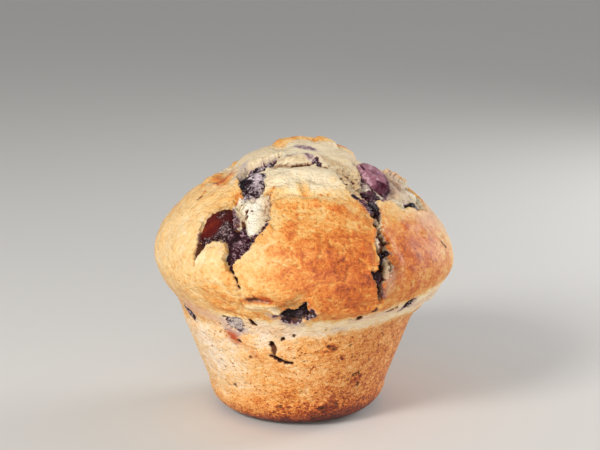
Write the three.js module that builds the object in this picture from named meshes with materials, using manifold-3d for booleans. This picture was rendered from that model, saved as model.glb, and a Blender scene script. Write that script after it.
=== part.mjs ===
import * as THREE from 'three';
import { mergeVertices } from 'three/addons/utils/BufferGeometryUtils.js';
import Module from 'manifold-3d';

// Blueberry muffin: one baked body with berries sunk in its burst cap.
// Millimetres, +Z up, the front faces -Y. A place on the skin is [bearing, height]:
// the bearing in degrees from the front, positive to the right, and the height above the base.

const wasm = await Module();
wasm.setup();

// the body's main sizes
const totalHeight = 82;
const standRadius = 17.5;      // flat disc that it stands on
const footRadius = 27.2;       // where the rounded foot meets the straight wall
const footHeight = 9;
const neckRadius = 35.2;       // top of the cup-baked wall
const neckHeight = 30;
const capRadius = 45.3;        // widest part of the mushroom cap
const capHeight = 48;
const domeFall = 1.65;         // how soon the dome falls away from the cap's rim
const domeRound = 0.67;        // how round its top is

// the cap sits to the right of the base, and its top leans back to the left
const baseShift = -1.7;
const capShift = 2;
const topShift = -1.1;

// unevenness of the crust
const lobeSize = 0.7;
const lumpSize = 0.35;
const rimSag = 1.1;            // the overhang droops further on the right

// mesh density
const ringCount = 24;
const skinSides = 50;

const berryGap = 0.4;          // clearance of a berry in its pocket
const overcut = 3;             // how far a cutter stands out of the skin
const plateRoot = 2;           // how deep a raised plate joins the body
const edgeJag = 0.9;           // unevenness of a torn edge

// [bearing, height] round each torn place, clockwise from its left
const tears = {
  upperLeft: {
    middle: [-33, 63],
    depth: 2.6,
    edge: [
      [-50, 61], [-50.5, 63.5], [-48, 65.3], [-43, 66], [-39, 67.3], [-34, 68], [-31, 70],
      [-24, 70.8], [-17, 71.5], [-13.5, 67.5], [-14.5, 64.5], [-15.5, 62.3], [-20, 60],
      [-26, 58], [-31.5, 58], [-35, 58.8], [-39, 57.4], [-44, 57.5], [-48, 58.8],
    ],
  },
  beforeTheFlap: {
    middle: [-27, 56.5],
    depth: 3.4,
    edge: [
      [-31.5, 57], [-31.5, 60], [-25, 61], [-20, 60], [-20.5, 56.5], [-24.5, 54.6],
      [-26, 53], [-26.2, 51], [-28, 52], [-30, 53.5],
    ],
  },
  upperRight: {
    middle: [58, 70],
    depth: 1.8,
    edge: [
      [34, 70], [36, 68], [38, 66.4], [45, 67.2], [53, 67], [62, 66.2], [67, 64.9], [73, 63.9],
      [79, 65], [81, 68], [80, 71.5], [74, 74], [66, 75.3], [57, 75], [50, 73.3], [42, 71.5],
    ],
  },
  backRight: {
    middle: [143, 67],
    depth: 2.4,
    edge: [
      [127, 66], [130, 70], [137, 73], [146, 73.5], [154, 71], [158, 67], [155, 63], [148, 61.5],
      [140, 60.5], [133, 62.5],
    ],
  },
  backLeft: {
    middle: [-122, 69],
    depth: 1.8,
    edge: [
      [-136, 69], [-132, 72], [-122, 73], [-113, 71.5], [-109, 68], [-114, 65.5], [-123, 65],
      [-131, 66.5],
    ],
  },
};

// [bearing, height, half width] along each crack, and its depth
const cracks = {
  right: {
    depth: 4.5,
    route: [
      [42, 68, 1.4], [38, 64.5, 1.7], [35.5, 61.5, 1.5], [33.5, 59, 1.2], [31.5, 56.5, 1.6],
      [31, 54, 1.5], [31, 52, 1.8], [29, 50, 1.9], [26.3, 47.8, 0.8], [26.2, 45.5, 0.9], [27.6, 42.8, 0.3],
    ],
  },
  rightSpur: {
    depth: 2,
    route: [[29, 50.5, 1.2], [26.5, 50.9, 0.8], [24.3, 51.2, 0.3]],
  },
  leftOfTheFlap: {
    depth: 2.2,
    route: [[-48.5, 60, 1.3], [-46, 56, 1.3], [-44, 53.5, 0.9], [-43, 51, 0.3]],
  },
  belowTheTear: {
    depth: 1.6,
    route: [
      [-26.4, 52, 0.9], [-25.2, 49, 0.6], [-24.2, 46.5, 0.5], [-23.3, 43.5, 0.5], [-24, 41.2, 0.3],
    ],
  },
  overTheLedge: {
    depth: 2,
    route: [[-20, 43.4, 0.3], [-16.5, 44, 0.8], [-12.5, 43.8, 0.7], [-8.5, 43.2, 0.3]],
  },
  overTheRimBerry: {
    depth: 2.4,
    route: [[-1.5, 39.5, 1.1], [0, 41.5, 0.8], [1.4, 44, 0.3]],
  },
  topFold: {
    depth: 2.2,
    route: [[-8, 77, 0.4], [-2, 77.4, 0.8], [6, 77.4, 0.9], [14, 77.2, 1.2], [24, 76.6, 0.4]],
  },
  rightRim: {
    depth: 1.5,
    route: [[47, 37.6, 0.3], [50, 38.6, 0.7], [54, 40.4, 0.3]],
  },
  rightSide: {
    depth: 3,
    route: [
      [96, 69, 0.5], [100, 65, 1.2], [104, 60.5, 1.3], [101, 55, 1.4], [105, 50, 1.1], [103, 45, 0.4],
    ],
  },
  back: {
    depth: 4,
    route: [
      [-168, 73, 0.5], [-160, 69, 1.3], [-163, 64, 1.6], [-157, 59, 1.5], [-160, 54, 1.7], [-154, 49, 1.2],
      [-155, 45, 0.9], [-152, 41, 0.3],
    ],
  },
  leftSide: {
    depth: 2.6,
    route: [[-116, 66.5, 1.2], [-110, 61, 1.3], [-113, 56, 1.2], [-107, 51, 0.9], [-109, 46, 0.3]],
  },
  backLedge: {
    depth: 2,
    route: [[163, 43.4, 0.3], [169, 44.1, 0.8], [176, 43.8, 0.7], [181, 43, 0.3]],
  },
  belowTheBackTear: {
    depth: 2.4,
    route: [[141, 62, 1.3], [137, 57, 1.1], [139, 52.5, 0.8], [135, 48, 0.3]],
  },
};

// crust plates that stand above the rest of the skin: [across, back] in mm round each one
const plates = {
  top: {
    middle: [2, 10],
    lift: 1.1,
    edge: [
      [-9, 4], [-5, 1.6], [0, 1], [6, 1.4], [11.5, 2.2], [13, 8], [11, 14], [6, 19], [-2, 19.5],
      [-8, 15], [-10.5, 9],
    ],
  },
  rightCorner: {
    middle: [29, -1],
    lift: 0.9,
    edge: [[26.6, -4], [26.2, 0], [26.8, 4], [30, 4.5], [32.5, 1], [32, -3.5], [29.5, -5]],
  },
};

// long, wide and deep are half sizes, turn is the long side's angle from straight up the skin,
// and sink is how far the berry's middle lies under the skin
const berries = [
  { name: 'berry_top_left', at: [-35.5, 73], long: 6.2, wide: 4.3, deep: 4.2, sink: 2.6, turn: 38 },
  { name: 'berry_left_skin', at: [-43, 62], long: 6, wide: 5, deep: 4.6, sink: 3.3, turn: -8 },
  { name: 'berry_left_crushed', at: [-28, 57.4], long: 6.8, wide: 3.7, deep: 3.4, sink: 3.2, turn: -12 },
  { name: 'berry_top_front', at: [15, 77.2], long: 2.2, wide: 2.6, deep: 2.4, sink: 1.1, turn: 0 },
  { name: 'berry_right_burst', at: [62, 72.2], long: 6.3, wide: 5.2, deep: 4.3, sink: 2.6, turn: 12 },
  { name: 'berry_right_dark', at: [39, 68.3], long: 4.1, wide: 2.9, deep: 3, sink: 1.5, turn: -6 },
  { name: 'berry_right_edge', at: [73.5, 65], long: 1.7, wide: 2.3, deep: 2, sink: 1.7, turn: 0 },
  { name: 'berry_crack_low', at: [27.4, 49.8], long: 1.7, wide: 2.2, deep: 2.1, sink: 1.9, turn: 0 },
  { name: 'berry_front_rim', at: [-3.6, 39.6], long: 2.7, wide: 4.5, deep: 3.4, sink: 1.9, turn: 0 },
  { name: 'berry_neck_left', at: [-30, 33.4], long: 3.9, wide: 4.3, deep: 3.2, sink: 2.6, turn: 0 },
  { name: 'berry_neck_side', at: [-58.5, 34.6], long: 1.6, wide: 2.7, deep: 2, sink: 1.3, turn: 30 },
  { name: 'berry_back_tear', at: [141, 67.4], long: 5.6, wide: 5, deep: 4.4, sink: 3, turn: 20 },
  { name: 'berry_back_crack', at: [-158.5, 56.5], long: 4.2, wide: 3.4, deep: 3.4, sink: 2.6, turn: 0 },
  { name: 'berry_back_left', at: [-123, 69.2], long: 5, wide: 4.2, deep: 3.8, sink: 2.8, turn: 40 },
  { name: 'berry_back_rim', at: [-128, 39.4], long: 2.9, wide: 4, deep: 3.2, sink: 1.9, turn: 0 },
  { name: 'berry_side_skin', at: [121, 54], long: 3.6, wide: 3.2, deep: 3, sink: 1.8, turn: 0 },
];

// ---- the body's skin ----

function smooth(start, end, value) {
  return THREE.MathUtils.smoothstep(value, start, end);
}

function skinRadius(height) {
  if (height < footHeight) {
    const rise = 1 - height / footHeight;
    return standRadius + (footRadius - standRadius) * Math.sqrt(1 - rise * rise);
  }
  if (height < neckHeight) {
    return THREE.MathUtils.mapLinear(height, footHeight, neckHeight, footRadius, neckRadius);
  }
  if (height < capHeight) {
    const rise = (height - neckHeight) / (capHeight - neckHeight);
    return neckRadius + (capRadius - neckRadius) * Math.sin(rise * Math.PI / 2) ** 1.4;
  }
  const rise = Math.min(1, (height - capHeight) / (totalHeight - capHeight));
  return capRadius * (1 - rise ** domeFall) ** domeRound;
}

function domeHeight(radius) {
  const share = 1 - Math.min(1, radius / capRadius) ** (1 / domeRound);
  return capHeight + (totalHeight - capHeight) * share ** (1 / domeFall);
}

function unevenness(angle, height) {
  const cap = smooth(26, 44, height) * (1 - smooth(72, 81, height));
  const base = smooth(2, 12, height) * (1 - smooth(24, 36, height));
  const lobes = lobeSize * (Math.sin(2 * angle) + 0.6 * Math.cos(3 * angle));
  const lumps = lumpSize * Math.sin(5 * angle + height / 6) * Math.sin(height / 5 + 2 * angle + 1.3);
  const side = Math.exp(-(((angle - Math.PI / 2) / 0.45) ** 2)) * Math.exp(-(((height - 36.5) / 3) ** 2));
  return cap * (lobes + lumps) + base * 0.4 * lobes + rimSag * side;
}

// a point on the skin
function onSkin(bearing, height) {
  const angle = THREE.MathUtils.degToRad(bearing);
  const radius = skinRadius(height) + unevenness(angle, height);
  const shift = baseShift + capShift * smooth(28, 38, height) + topShift * smooth(40, 80, height);
  return new THREE.Vector3(shift + radius * Math.sin(angle), -radius * Math.cos(angle), height);
}

// the skin's directions at one place: to the right, up the skin, and straight out of it
function skinDirections(bearing, height) {
  const low = Math.max(0.2, height - 0.4);
  const high = Math.min(totalHeight - 0.2, height + 0.4);
  const right = onSkin(bearing + 1, height).sub(onSkin(bearing - 1, height)).normalize();
  const up = onSkin(bearing, high).sub(onSkin(bearing, low)).normalize();
  const out = new THREE.Vector3().crossVectors(right, up).normalize();
  return { right, up, out };
}

// a point at a depth under the skin; a depth below nothing is outside it
function underSkin(bearing, height, depth) {
  const { out } = skinDirections(bearing, height);
  return onSkin(bearing, height).addScaledVector(out, -depth);
}

// a fixed scatter between -1 and 1, the same on every run
function scatter(seed) {
  const wave = Math.sin(seed * 12.9898) * 43758.5453;
  return 2 * (wave - Math.floor(wave)) - 1;
}

// ---- solids ----

// a closed skin over rings of points, with one point at each end
function wrapRings(rings, startPoint, endPoint) {
  const sides = rings[0].length;
  const points = [startPoint, ...rings.flat(), endPoint];
  const last = points.length - 1;
  const faces = [];
  for (let side = 0; side < sides; side += 1) {
    const next = (side + 1) % sides;
    faces.push(0, 1 + next, 1 + side);
    for (let ring = 0; ring < rings.length - 1; ring += 1) {
      const here = 1 + ring * sides;
      const after = here + sides;
      faces.push(here + side, here + next, after + next);
      faces.push(here + side, after + next, after + side);
    }
    faces.push(last, last - sides + side, last - sides + next);
  }
  const geometry = new THREE.BufferGeometry().setFromPoints(points);
  geometry.setIndex(faces);
  return geometry;
}

function signedVolume(geometry) {
  const position = geometry.getAttribute('position');
  const [a, b, c] = [new THREE.Vector3(), new THREE.Vector3(), new THREE.Vector3()];
  let volume = 0;
  for (let corner = 0; corner < geometry.index.count; corner += 3) {
    a.fromBufferAttribute(position, geometry.index.getX(corner));
    b.fromBufferAttribute(position, geometry.index.getX(corner + 1));
    c.fromBufferAttribute(position, geometry.index.getX(corner + 2));
    volume += a.dot(b.cross(c)) / 6;
  }
  return volume;
}

function toSolid(geometry) {
  const welded = mergeVertices(geometry);
  const triVerts = new Uint32Array(welded.index.array);
  if (signedVolume(welded) < 0) {
    triVerts.reverse();
  }
  const vertProperties = new Float32Array(welded.getAttribute('position').array);
  return new wasm.Manifold(new wasm.Mesh({ numProp: 3, vertProperties, triVerts }));
}

function toGeometry(solid) {
  const mesh = solid.getMesh();
  const geometry = new THREE.BufferGeometry();
  geometry.setAttribute('position', new THREE.BufferAttribute(mesh.vertProperties, 3));
  geometry.setIndex(new THREE.BufferAttribute(mesh.triVerts, 1));
  return geometry;
}

// the whole muffin before it burst
function wholeBody() {
  const stations = [];
  for (let step = 0; step <= 200; step += 1) {
    const height = totalHeight * Math.sin(step / 200 * Math.PI / 2);
    stations.push(new THREE.Vector2(skinRadius(height), height));
  }
  const outline = new THREE.SplineCurve(stations).getSpacedPoints(ringCount).slice(0, -1);
  const rings = outline.map(({ y: height }) => {
    const level = Math.max(0, height);
    return Array.from({ length: skinSides }, (unused, side) => onSkin(360 * side / skinSides, level));
  });
  return toSolid(wrapRings(rings, onSkin(0, 0).setX(baseShift).setY(0), onSkin(0, totalHeight)));
}

// an outline with one uneven point added between each two
function raggedEdge(edge) {
  return edge.flatMap(([bearing, height], index) => {
    const [nextBearing, nextHeight] = edge[(index + 1) % edge.length];
    const between = [
      (bearing + nextBearing) / 2 + edgeJag * scatter(index + bearing),
      (height + nextHeight) / 2 + 0.6 * edgeJag * scatter(index + height),
    ];
    return [[bearing, height], between];
  });
}

// a patch of the skin between an outer and an inner depth, narrower at its inner face
function skinPatch({ middle, edge, outer, inner, toPlace }) {
  const ringAt = (share, depth, rough) => edge.map(([across, along], index) => {
    const place = toPlace(
      THREE.MathUtils.lerp(middle[0], across, share),
      THREE.MathUtils.lerp(middle[1], along, share),
    );
    return underSkin(...place, depth + rough * scatter(7 * index + 31 * share));
  });
  const rings = [
    ringAt(1, outer, 0),
    ringAt(0.9, inner * 0.8, 0),
    ringAt(0.72, inner, 0.35),
    ringAt(0.36, inner, 0.5),
  ];
  const centre = toPlace(...middle);
  return toSolid(wrapRings(rings, underSkin(...centre, outer), underSkin(...centre, inner)));
}

function tearCutter({ middle, edge, depth }) {
  const toPlace = (bearing, height) => [bearing, height];
  return skinPatch({ middle, edge: raggedEdge(edge), outer: -overcut, inner: depth, toPlace });
}

// a raised plate near the top, laid out in plan
function crustPlate({ middle, edge, lift }) {
  const toPlace = (across, back) => {
    const bearing = THREE.MathUtils.radToDeg(Math.atan2(across, -back));
    return [bearing, domeHeight(Math.hypot(across, back))];
  };
  return skinPatch({ middle, edge, outer: -lift, inner: plateRoot, toPlace });
}

// a wedge that follows a crack and wanders a little
function crackCutter({ route, depth }, number) {
  const path = new THREE.CatmullRomCurve3(route.map((stop) => new THREE.Vector3(...stop)));
  const stops = path.getPoints(route.length).map(({ x, y, z }, index) => {
    const wander = 0.5 * z * scatter(index + 17 * number);
    return { bearing: x + wander, height: y, half: Math.max(0.25, z) };
  });
  const places = stops.map(({ bearing, height }) => onSkin(bearing, height));
  const rings = stops.map(({ bearing, height, half }, index) => {
    const before = places[Math.max(0, index - 1)];
    const after = places[Math.min(places.length - 1, index + 1)];
    const { out } = skinDirections(bearing, height);
    const side = new THREE.Vector3().subVectors(after, before).cross(out).normalize();
    const deep = Math.min(depth, 0.6 + 2.2 * half);
    const mouth = half * (1 + overcut / deep);
    return [[-mouth, overcut], [0.3 * half * scatter(index), -deep], [mouth, overcut]].map(
      ([across, rise]) => places[index].clone().addScaledVector(side, across).addScaledVector(out, rise),
    );
  });
  const ends = [stops[0], stops.at(-1)].map(({ bearing, height }) => underSkin(bearing, height, -1));
  return toSolid(wrapRings(rings, ...ends));
}

// a berry with wrinkled skin and a small five-pointed crown, grown by a margin for its pocket
function berrySolid({ at, long, wide, deep, sink, turn }, grown) {
  const rows = long > 3 ? 8 : 6;
  const sides = long > 3 ? 12 : 9;
  const { right, up, out } = skinDirections(...at);
  const centre = underSkin(...at, sink);
  const lengthwise = up.clone().applyAxisAngle(out, THREE.MathUtils.degToRad(-turn));
  const crosswise = right.clone().applyAxisAngle(out, THREE.MathUtils.degToRad(-turn));
  const pointAt = (polar, round) => {
    const crown = Math.exp(-((polar / 0.42) ** 2));
    const lip = Math.exp(-(((polar - 0.6) / 0.2) ** 2)) * (0.5 + 0.5 * Math.cos(5 * round));
    const wrinkle = grown ? 0 : 0.02 * Math.cos(4 * round + 3 * polar + at[0]);
    const reach = 1 - (grown ? 0 : 0.16 * crown) + 0.05 * lip + wrinkle;
    return centre.clone()
      .addScaledVector(out, (deep * reach + grown) * Math.cos(polar))
      .addScaledVector(lengthwise, (long * reach + grown) * Math.sin(polar) * Math.cos(round))
      .addScaledVector(crosswise, (wide * reach + grown) * Math.sin(polar) * Math.sin(round));
  };
  const rings = [];
  for (let row = 1; row < rows; row += 1) {
    const polar = Math.PI * row / rows;
    rings.push(Array.from({ length: sides }, (unused, side) => pointAt(polar, 2 * Math.PI * side / sides)));
  }
  return toSolid(wrapRings(rings, pointAt(0, 0), pointAt(Math.PI, 0)));
}

// ---- sub-parts ----

function crumbBody() {
  let body = wholeBody();
  for (const plate of Object.values(plates)) {
    body = body.add(crustPlate(plate));
  }
  for (const tear of Object.values(tears)) {
    body = body.subtract(tearCutter(tear));
  }
  Object.values(cracks).forEach((crack, number) => {
    body = body.subtract(crackCutter(crack, number));
  });
  for (const berry of berries) {
    body = body.subtract(berrySolid(berry, berryGap));
  }
  return toGeometry(body);
}

function crustMaterial() {
  return new THREE.MeshStandardMaterial({ color: '#d99a4e', roughness: 0.8, metalness: 0 });
}

function berryMaterial() {
  return new THREE.MeshStandardMaterial({ color: '#2a1230', roughness: 0.35, metalness: 0 });
}

const muffin = new THREE.Group();

const body = new THREE.Mesh(crumbBody(), crustMaterial());
body.name = 'muffin_body';
muffin.add(body);

for (const berry of berries) {
  const piece = new THREE.Mesh(toGeometry(berrySolid(berry, 0)), berryMaterial());
  piece.name = berry.name;
  muffin.add(piece);
}

// the middle of the whole stands over the origin
const extent = new THREE.Box3().setFromObject(muffin);
for (const piece of muffin.children) {
  piece.geometry.translate(-(extent.min.x + extent.max.x) / 2, -(extent.min.y + extent.max.y) / 2, 0);
}

export default muffin;
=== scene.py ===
import bpy
import math
import random
from functools import partial
import numpy as np
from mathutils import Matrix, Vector, noise


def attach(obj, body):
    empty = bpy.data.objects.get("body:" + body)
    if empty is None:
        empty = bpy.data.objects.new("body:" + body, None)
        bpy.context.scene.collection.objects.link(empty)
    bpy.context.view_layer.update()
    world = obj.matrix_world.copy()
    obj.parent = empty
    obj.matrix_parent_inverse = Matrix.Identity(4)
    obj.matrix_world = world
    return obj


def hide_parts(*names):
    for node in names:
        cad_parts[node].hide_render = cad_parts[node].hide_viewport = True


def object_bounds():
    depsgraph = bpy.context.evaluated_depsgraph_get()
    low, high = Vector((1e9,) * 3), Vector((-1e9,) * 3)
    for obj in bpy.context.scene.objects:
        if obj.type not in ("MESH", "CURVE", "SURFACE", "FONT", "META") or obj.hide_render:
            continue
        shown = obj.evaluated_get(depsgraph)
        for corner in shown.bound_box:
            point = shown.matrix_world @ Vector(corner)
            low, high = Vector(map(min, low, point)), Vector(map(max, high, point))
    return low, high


# Blueberry muffin. Sizes are in millimetres here and become metres when a mesh is written.
# A place on the skin is (bearing, height): degrees from the front, positive to the right,
# and the height above the base. A stop on a route is a place and half the width there.

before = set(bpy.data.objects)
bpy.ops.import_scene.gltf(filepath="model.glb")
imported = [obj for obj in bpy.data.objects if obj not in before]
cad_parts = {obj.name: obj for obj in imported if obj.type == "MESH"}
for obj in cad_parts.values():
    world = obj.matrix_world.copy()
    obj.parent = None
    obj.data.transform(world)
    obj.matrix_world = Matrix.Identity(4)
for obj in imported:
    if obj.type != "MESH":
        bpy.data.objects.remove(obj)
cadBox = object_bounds()
mm = 0.001
print("stage: frame loaded")


# the muffin before it burst
shape = {
    "height": 82,
    "standRadius": 17.5,      # flat disc that it stands on
    "footRadius": 27.2,       # where the rounded foot meets the straight wall
    "footHeight": 9,
    "neckRadius": 35.2,       # top of the cup-baked wall
    "neckHeight": 30,
    "overhangCurve": 1.4,     # how hollow the underside of the rim is
    "capRadius": 45.3,        # widest part of the cap
    "capHeight": 48,
    "domeFall": 1.65,
    "domeRound": 0.67,
    "baseShift": -1.7,        # the cap sits to the right of the base
    "capShift": 2.0,
    "capShiftOver": (28, 38),
    "topShift": -1.1,
    "topShiftOver": (40, 80),
    "lobes": 0.7,
    "lobesOnBase": 0.4,
    "lumps": 0.35,
    "capOver": (26, 44, 72, 81),    # heights between which the cap's lobes come in and go
    "baseOver": (2, 12, 24, 36),
    "rimSag": 1.1,            # the overhang droops further on the right
    "rimSagHeight": 36.5,
}


# torn places: (bearing, height) round each edge; dark is how much painted shade fills each
tears = {
    "upperLeft": {
        "middle": -33, "depth": 2.5, "wall": 0.4, "lip": 0.25, "rind": 0.3,
        "edge": [
            (-46, 57.5), (-48, 60), (-49.7, 62), (-50.5, 63.4), (-48.5, 64.6), (-45.5, 65.5), (-43, 66.6),
            (-39, 67.4), (-39.6, 68.6), (-37, 70), (-42, 71.3), (-50.5, 73), (-54, 74.8), (-52.5, 76.4),
            (-46, 78), (-38, 79), (-31, 79.5), (-26, 78.8), (-26, 76.6), (-28, 75.2), (-26, 73.6),
            (-23.6, 72.2), (-21.5, 70.6), (-17.2, 71.6), (-17, 69), (-15, 67), (-14, 64.8), (-15, 62.8),
            (-17.4, 61.6), (-19, 60), (-20.4, 58), (-22.8, 55.8), (-25.4, 54), (-26.6, 52.4), (-27.2, 50.8),
            (-29.6, 52.4), (-31.4, 54.4), (-31, 56.5), (-33, 58), (-35.5, 58.6), (-38, 58), (-40.6, 57),
            (-42, 55.6), (-43.4, 53.4), (-44.6, 51), (-45.4, 53.5), (-45.6, 55.8),
        ],
    },
    "rightCrack": {
        "middle": 31, "depth": 3.4, "wall": 0.35, "lip": 0.2, "dark": 0.75,
        "edge": [
            (36, 69), (34.5, 66.6), (34.8, 65.2), (33.6, 64.2), (31.8, 63), (32.2, 61.6), (31.2, 60.3),
            (29.2, 59), (28.8, 57.2), (29.2, 56.2), (28.9, 54.5), (27.8, 53), (26.6, 51.6), (24, 51.7),
            (24.6, 49.9), (25.6, 48.4), (26.2, 46.4), (27.4, 44.2), (29, 42.3), (29, 44.4), (28.6, 46.6),
            (29.2, 48.2), (30.6, 49.6), (32.8, 50.8), (34.2, 52.2), (33, 53.8), (34, 54.8), (34.8, 56),
            (34.4, 57.4), (35.6, 59.2), (34.4, 60.8), (36.6, 62.7), (38.8, 63.8), (40.4, 65.2), (41.4, 67.2),
            (42, 69),
        ],
    },
    "upperRight": {
        "middle": 60, "depth": 1.7, "wall": 0.6, "lip": 0.3, "lumps": 0.4,
        "edge": [
            (36, 67.6), (34, 69.4), (36.5, 71), (42, 72.4), (47, 73.6), (52, 75), (62, 76.2), (73, 76),
            (82, 75.2), (90, 73.6), (95, 70.6), (92, 66.8), (84, 64), (76, 62), (69, 63.4), (65, 64.5),
            (59.5, 64.9), (56.5, 64.7), (53.6, 65.5), (53, 67), (49.5, 67.7), (44, 68.2), (41, 66.8),
        ],
    },
    "frontRim": {
        "middle": -4, "depth": 2.6, "wall": 0.5, "lip": 0.15, "dark": 0.6, "ragged": 0.35,
        "edge": [
            (-10.6, 38.8), (-9.4, 40), (-7.4, 41), (-5.4, 41.8), (-3.4, 41.5), (-2, 42), (-0.8, 42.9),
            (0.6, 44), (1.6, 43.3), (1.2, 41.8), (1.8, 40.9), (3.6, 40.6), (3, 38.8), (1, 38), (-1.2, 37),
            (-3.6, 36.5), (-6, 36.8), (-8.6, 37.6),
        ],
    },
    "neckLeft": {
        "middle": -30, "depth": 1.4, "wall": 0.5, "lip": 0.1,
        "edge": [
            (-35.4, 36.3), (-31, 36), (-27, 36), (-25.4, 34.8), (-26.4, 33.6), (-25.8, 32.4), (-28.4, 31.2),
            (-30.6, 32), (-33, 32), (-34.8, 33.2), (-34.2, 34.6),
        ],
    },
    "backRight": {
        "middle": 143, "depth": 2.4, "wall": 0.5, "lip": 0.3,
        "edge": [
            (127, 66), (130, 70), (137, 73), (146, 73.5), (154, 71), (158, 67), (155, 63), (148, 61.5),
            (140, 60.5), (133, 62.5),
        ],
    },
    "backLeft": {
        "middle": -122, "depth": 1.9, "wall": 0.5, "lip": 0.3,
        "edge": [
            (-136, 69), (-132, 72), (-122, 73), (-113, 71.5), (-109, 68), (-114, 65.5), (-123, 65), (-131, 66.5),
        ],
    },
}


# (bearing, height, half width) along each crack; dark is how much painted shade fills each
cracks = {
    "leftOfTheFlap": {
        "depth": 1.6, "dark": 0.5,
        "route": [
            (-47.4, 59, 0.8), (-46, 56.5, 0.8), (-45.3, 54, 0.6), (-44.8, 51.8, 0.5), (-44.5, 50.6, 0.2),
        ],
    },
    "belowTheTear": {
        "depth": 1.2, "dark": 0.8,
        "route": [
            (-26.9, 51.8, 0.5), (-25.4, 50.4, 0.3), (-24.6, 49.2, 0.55), (-24.1, 48.4, 0.15),
            (-23.5, 47.2, 0.4), (-23.2, 45.6, 0.1), (-23, 44.8, 0.25), (-23.4, 43.4, 0.05), (-24.3, 41.6, 0.1),
        ],
    },
    "overTheLedge": {
        "depth": 0.55, "dark": 0.2,
        "route": [
            (-21.4, 43.4, 0.1), (-19.4, 43.7, 0.45), (-17.6, 43.8, 0.5), (-14.6, 43.5, 0.2), (-11, 43.1, 0.1),
        ],
    },
    "topSlit": {
        "depth": 1.9, "dark": 0.62,
        "route": [
            (-10, 76.3, 0.3), (-5, 76.8, 0.9), (0, 77.1, 1.1), (6, 77.3, 1), (12, 77.5, 0.6),
        ],
    },
    "topBrownTail": {
        "depth": 1, "dark": 0.5,
        "route": [
            (19, 77, 0.7), (24, 76.5, 0.7), (30, 76.2, 0.4),
        ],
    },
    "rightRim": {
        "depth": 1.1, "dark": 0.5,
        "route": [
            (42.6, 38.6, 0.5), (44.4, 40, 0.6), (45.4, 41.2, 0.3),
        ],
    },
    "rightRimEnd": {
        "depth": 1, "dark": 0.6,
        "route": [
            (58, 38.6, 0.4), (60.6, 39.4, 0.5),
        ],
    },
    "neckLine": {
        "depth": 1.3, "dark": 1,
        "route": [
            (-35.6, 36.4, 0.3), (-33.6, 36.1, 0.6), (-31, 36, 0.35), (-29, 36.2, 0.6), (-27, 36.2, 0.3),
        ],
    },
    "neckSide": {
        "depth": 1.6, "dark": 1,
        "route": [
            (-65.6, 35, 0.5), (-63.4, 33.8, 0.7), (-61, 32.9, 0.9), (-59.2, 32.3, 0.6),
        ],
    },
    "baseHole": {
        "depth": 0.6, "dark": 0.42,
        "route": [
            (-11.8, 28.8, 0.9), (-11, 27.2, 1.1), (-11.2, 25.4, 0.8),
        ],
    },
    "baseLine": {
        "depth": 1.2, "dark": 0.9,
        "route": [
            (-13.4, 24.6, 0.6), (-11.4, 24.3, 0.5), (-9.6, 23.8, 0.5), (-8, 23.2, 0.85), (-6.4, 22.8, 0.5),
            (-5, 22.6, 0.75), (-3.8, 22.4, 0.35), (-2.6, 22.4, 0.6),
        ],
    },
    "baseRing": {
        "depth": 0.9, "dark": 0.75,
        "route": [
            (31.4, 15.4, 0.35), (32.6, 16.6, 0.45), (35, 17, 0.5), (37.4, 16.8, 0.3),
        ],
    },
    "baseRingLow": {
        "depth": 0.8, "dark": 0.7,
        "route": [
            (37.4, 13.8, 0.3), (38.4, 12.8, 0.5), (39.4, 12.6, 0.3),
        ],
    },
    "rightSide": {
        "depth": 3, "dark": 0.6,
        "route": [
            (96, 69, 0.5), (100, 65, 1.2), (104, 60.5, 1.3), (101, 55, 1.4), (105, 50, 1.1), (103, 45, 0.4),
        ],
    },
    "back": {
        "depth": 3.6, "dark": 0.6,
        "route": [
            (-168, 73, 0.5), (-160, 69, 1.3), (-163, 64, 1.6), (-157, 59, 1.5), (-160, 54, 1.7),
            (-154, 49, 1.2), (-155, 45, 0.9), (-152, 41, 0.3),
        ],
    },
    "leftSide": {
        "depth": 2.4, "dark": 0.5,
        "route": [
            (-116, 66.5, 1.2), (-110, 61, 1.3), (-113, 56, 1.2), (-107, 51, 0.9), (-109, 46, 0.3),
        ],
    },
    "backLedge": {
        "depth": 1.8, "dark": 0.8,
        "route": [
            (163, 43.4, 0.3), (169, 44.1, 0.7), (176, 43.8, 0.6), (181, 43, 0.3),
        ],
    },
    "belowTheBackTear": {
        "depth": 2.2, "dark": 0.6,
        "route": [
            (141, 62, 1.3), (137, 57, 1.1), (139, 52.5, 0.8), (135, 48, 0.3),
        ],
    },
    "backBaseHole": {
        "depth": 1.3, "dark": 0.7,
        "route": [
            (168, 27, 0.7), (166, 25, 0.6), (170, 23.6, 0.4), (175, 23, 0.3),
        ],
    },
    "leftBaseHole": {
        "depth": 1.2, "dark": 0.7,
        "route": [
            (-104, 22, 0.5), (-100, 21, 0.6), (-97, 21.6, 0.3),
        ],
    },
}


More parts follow.
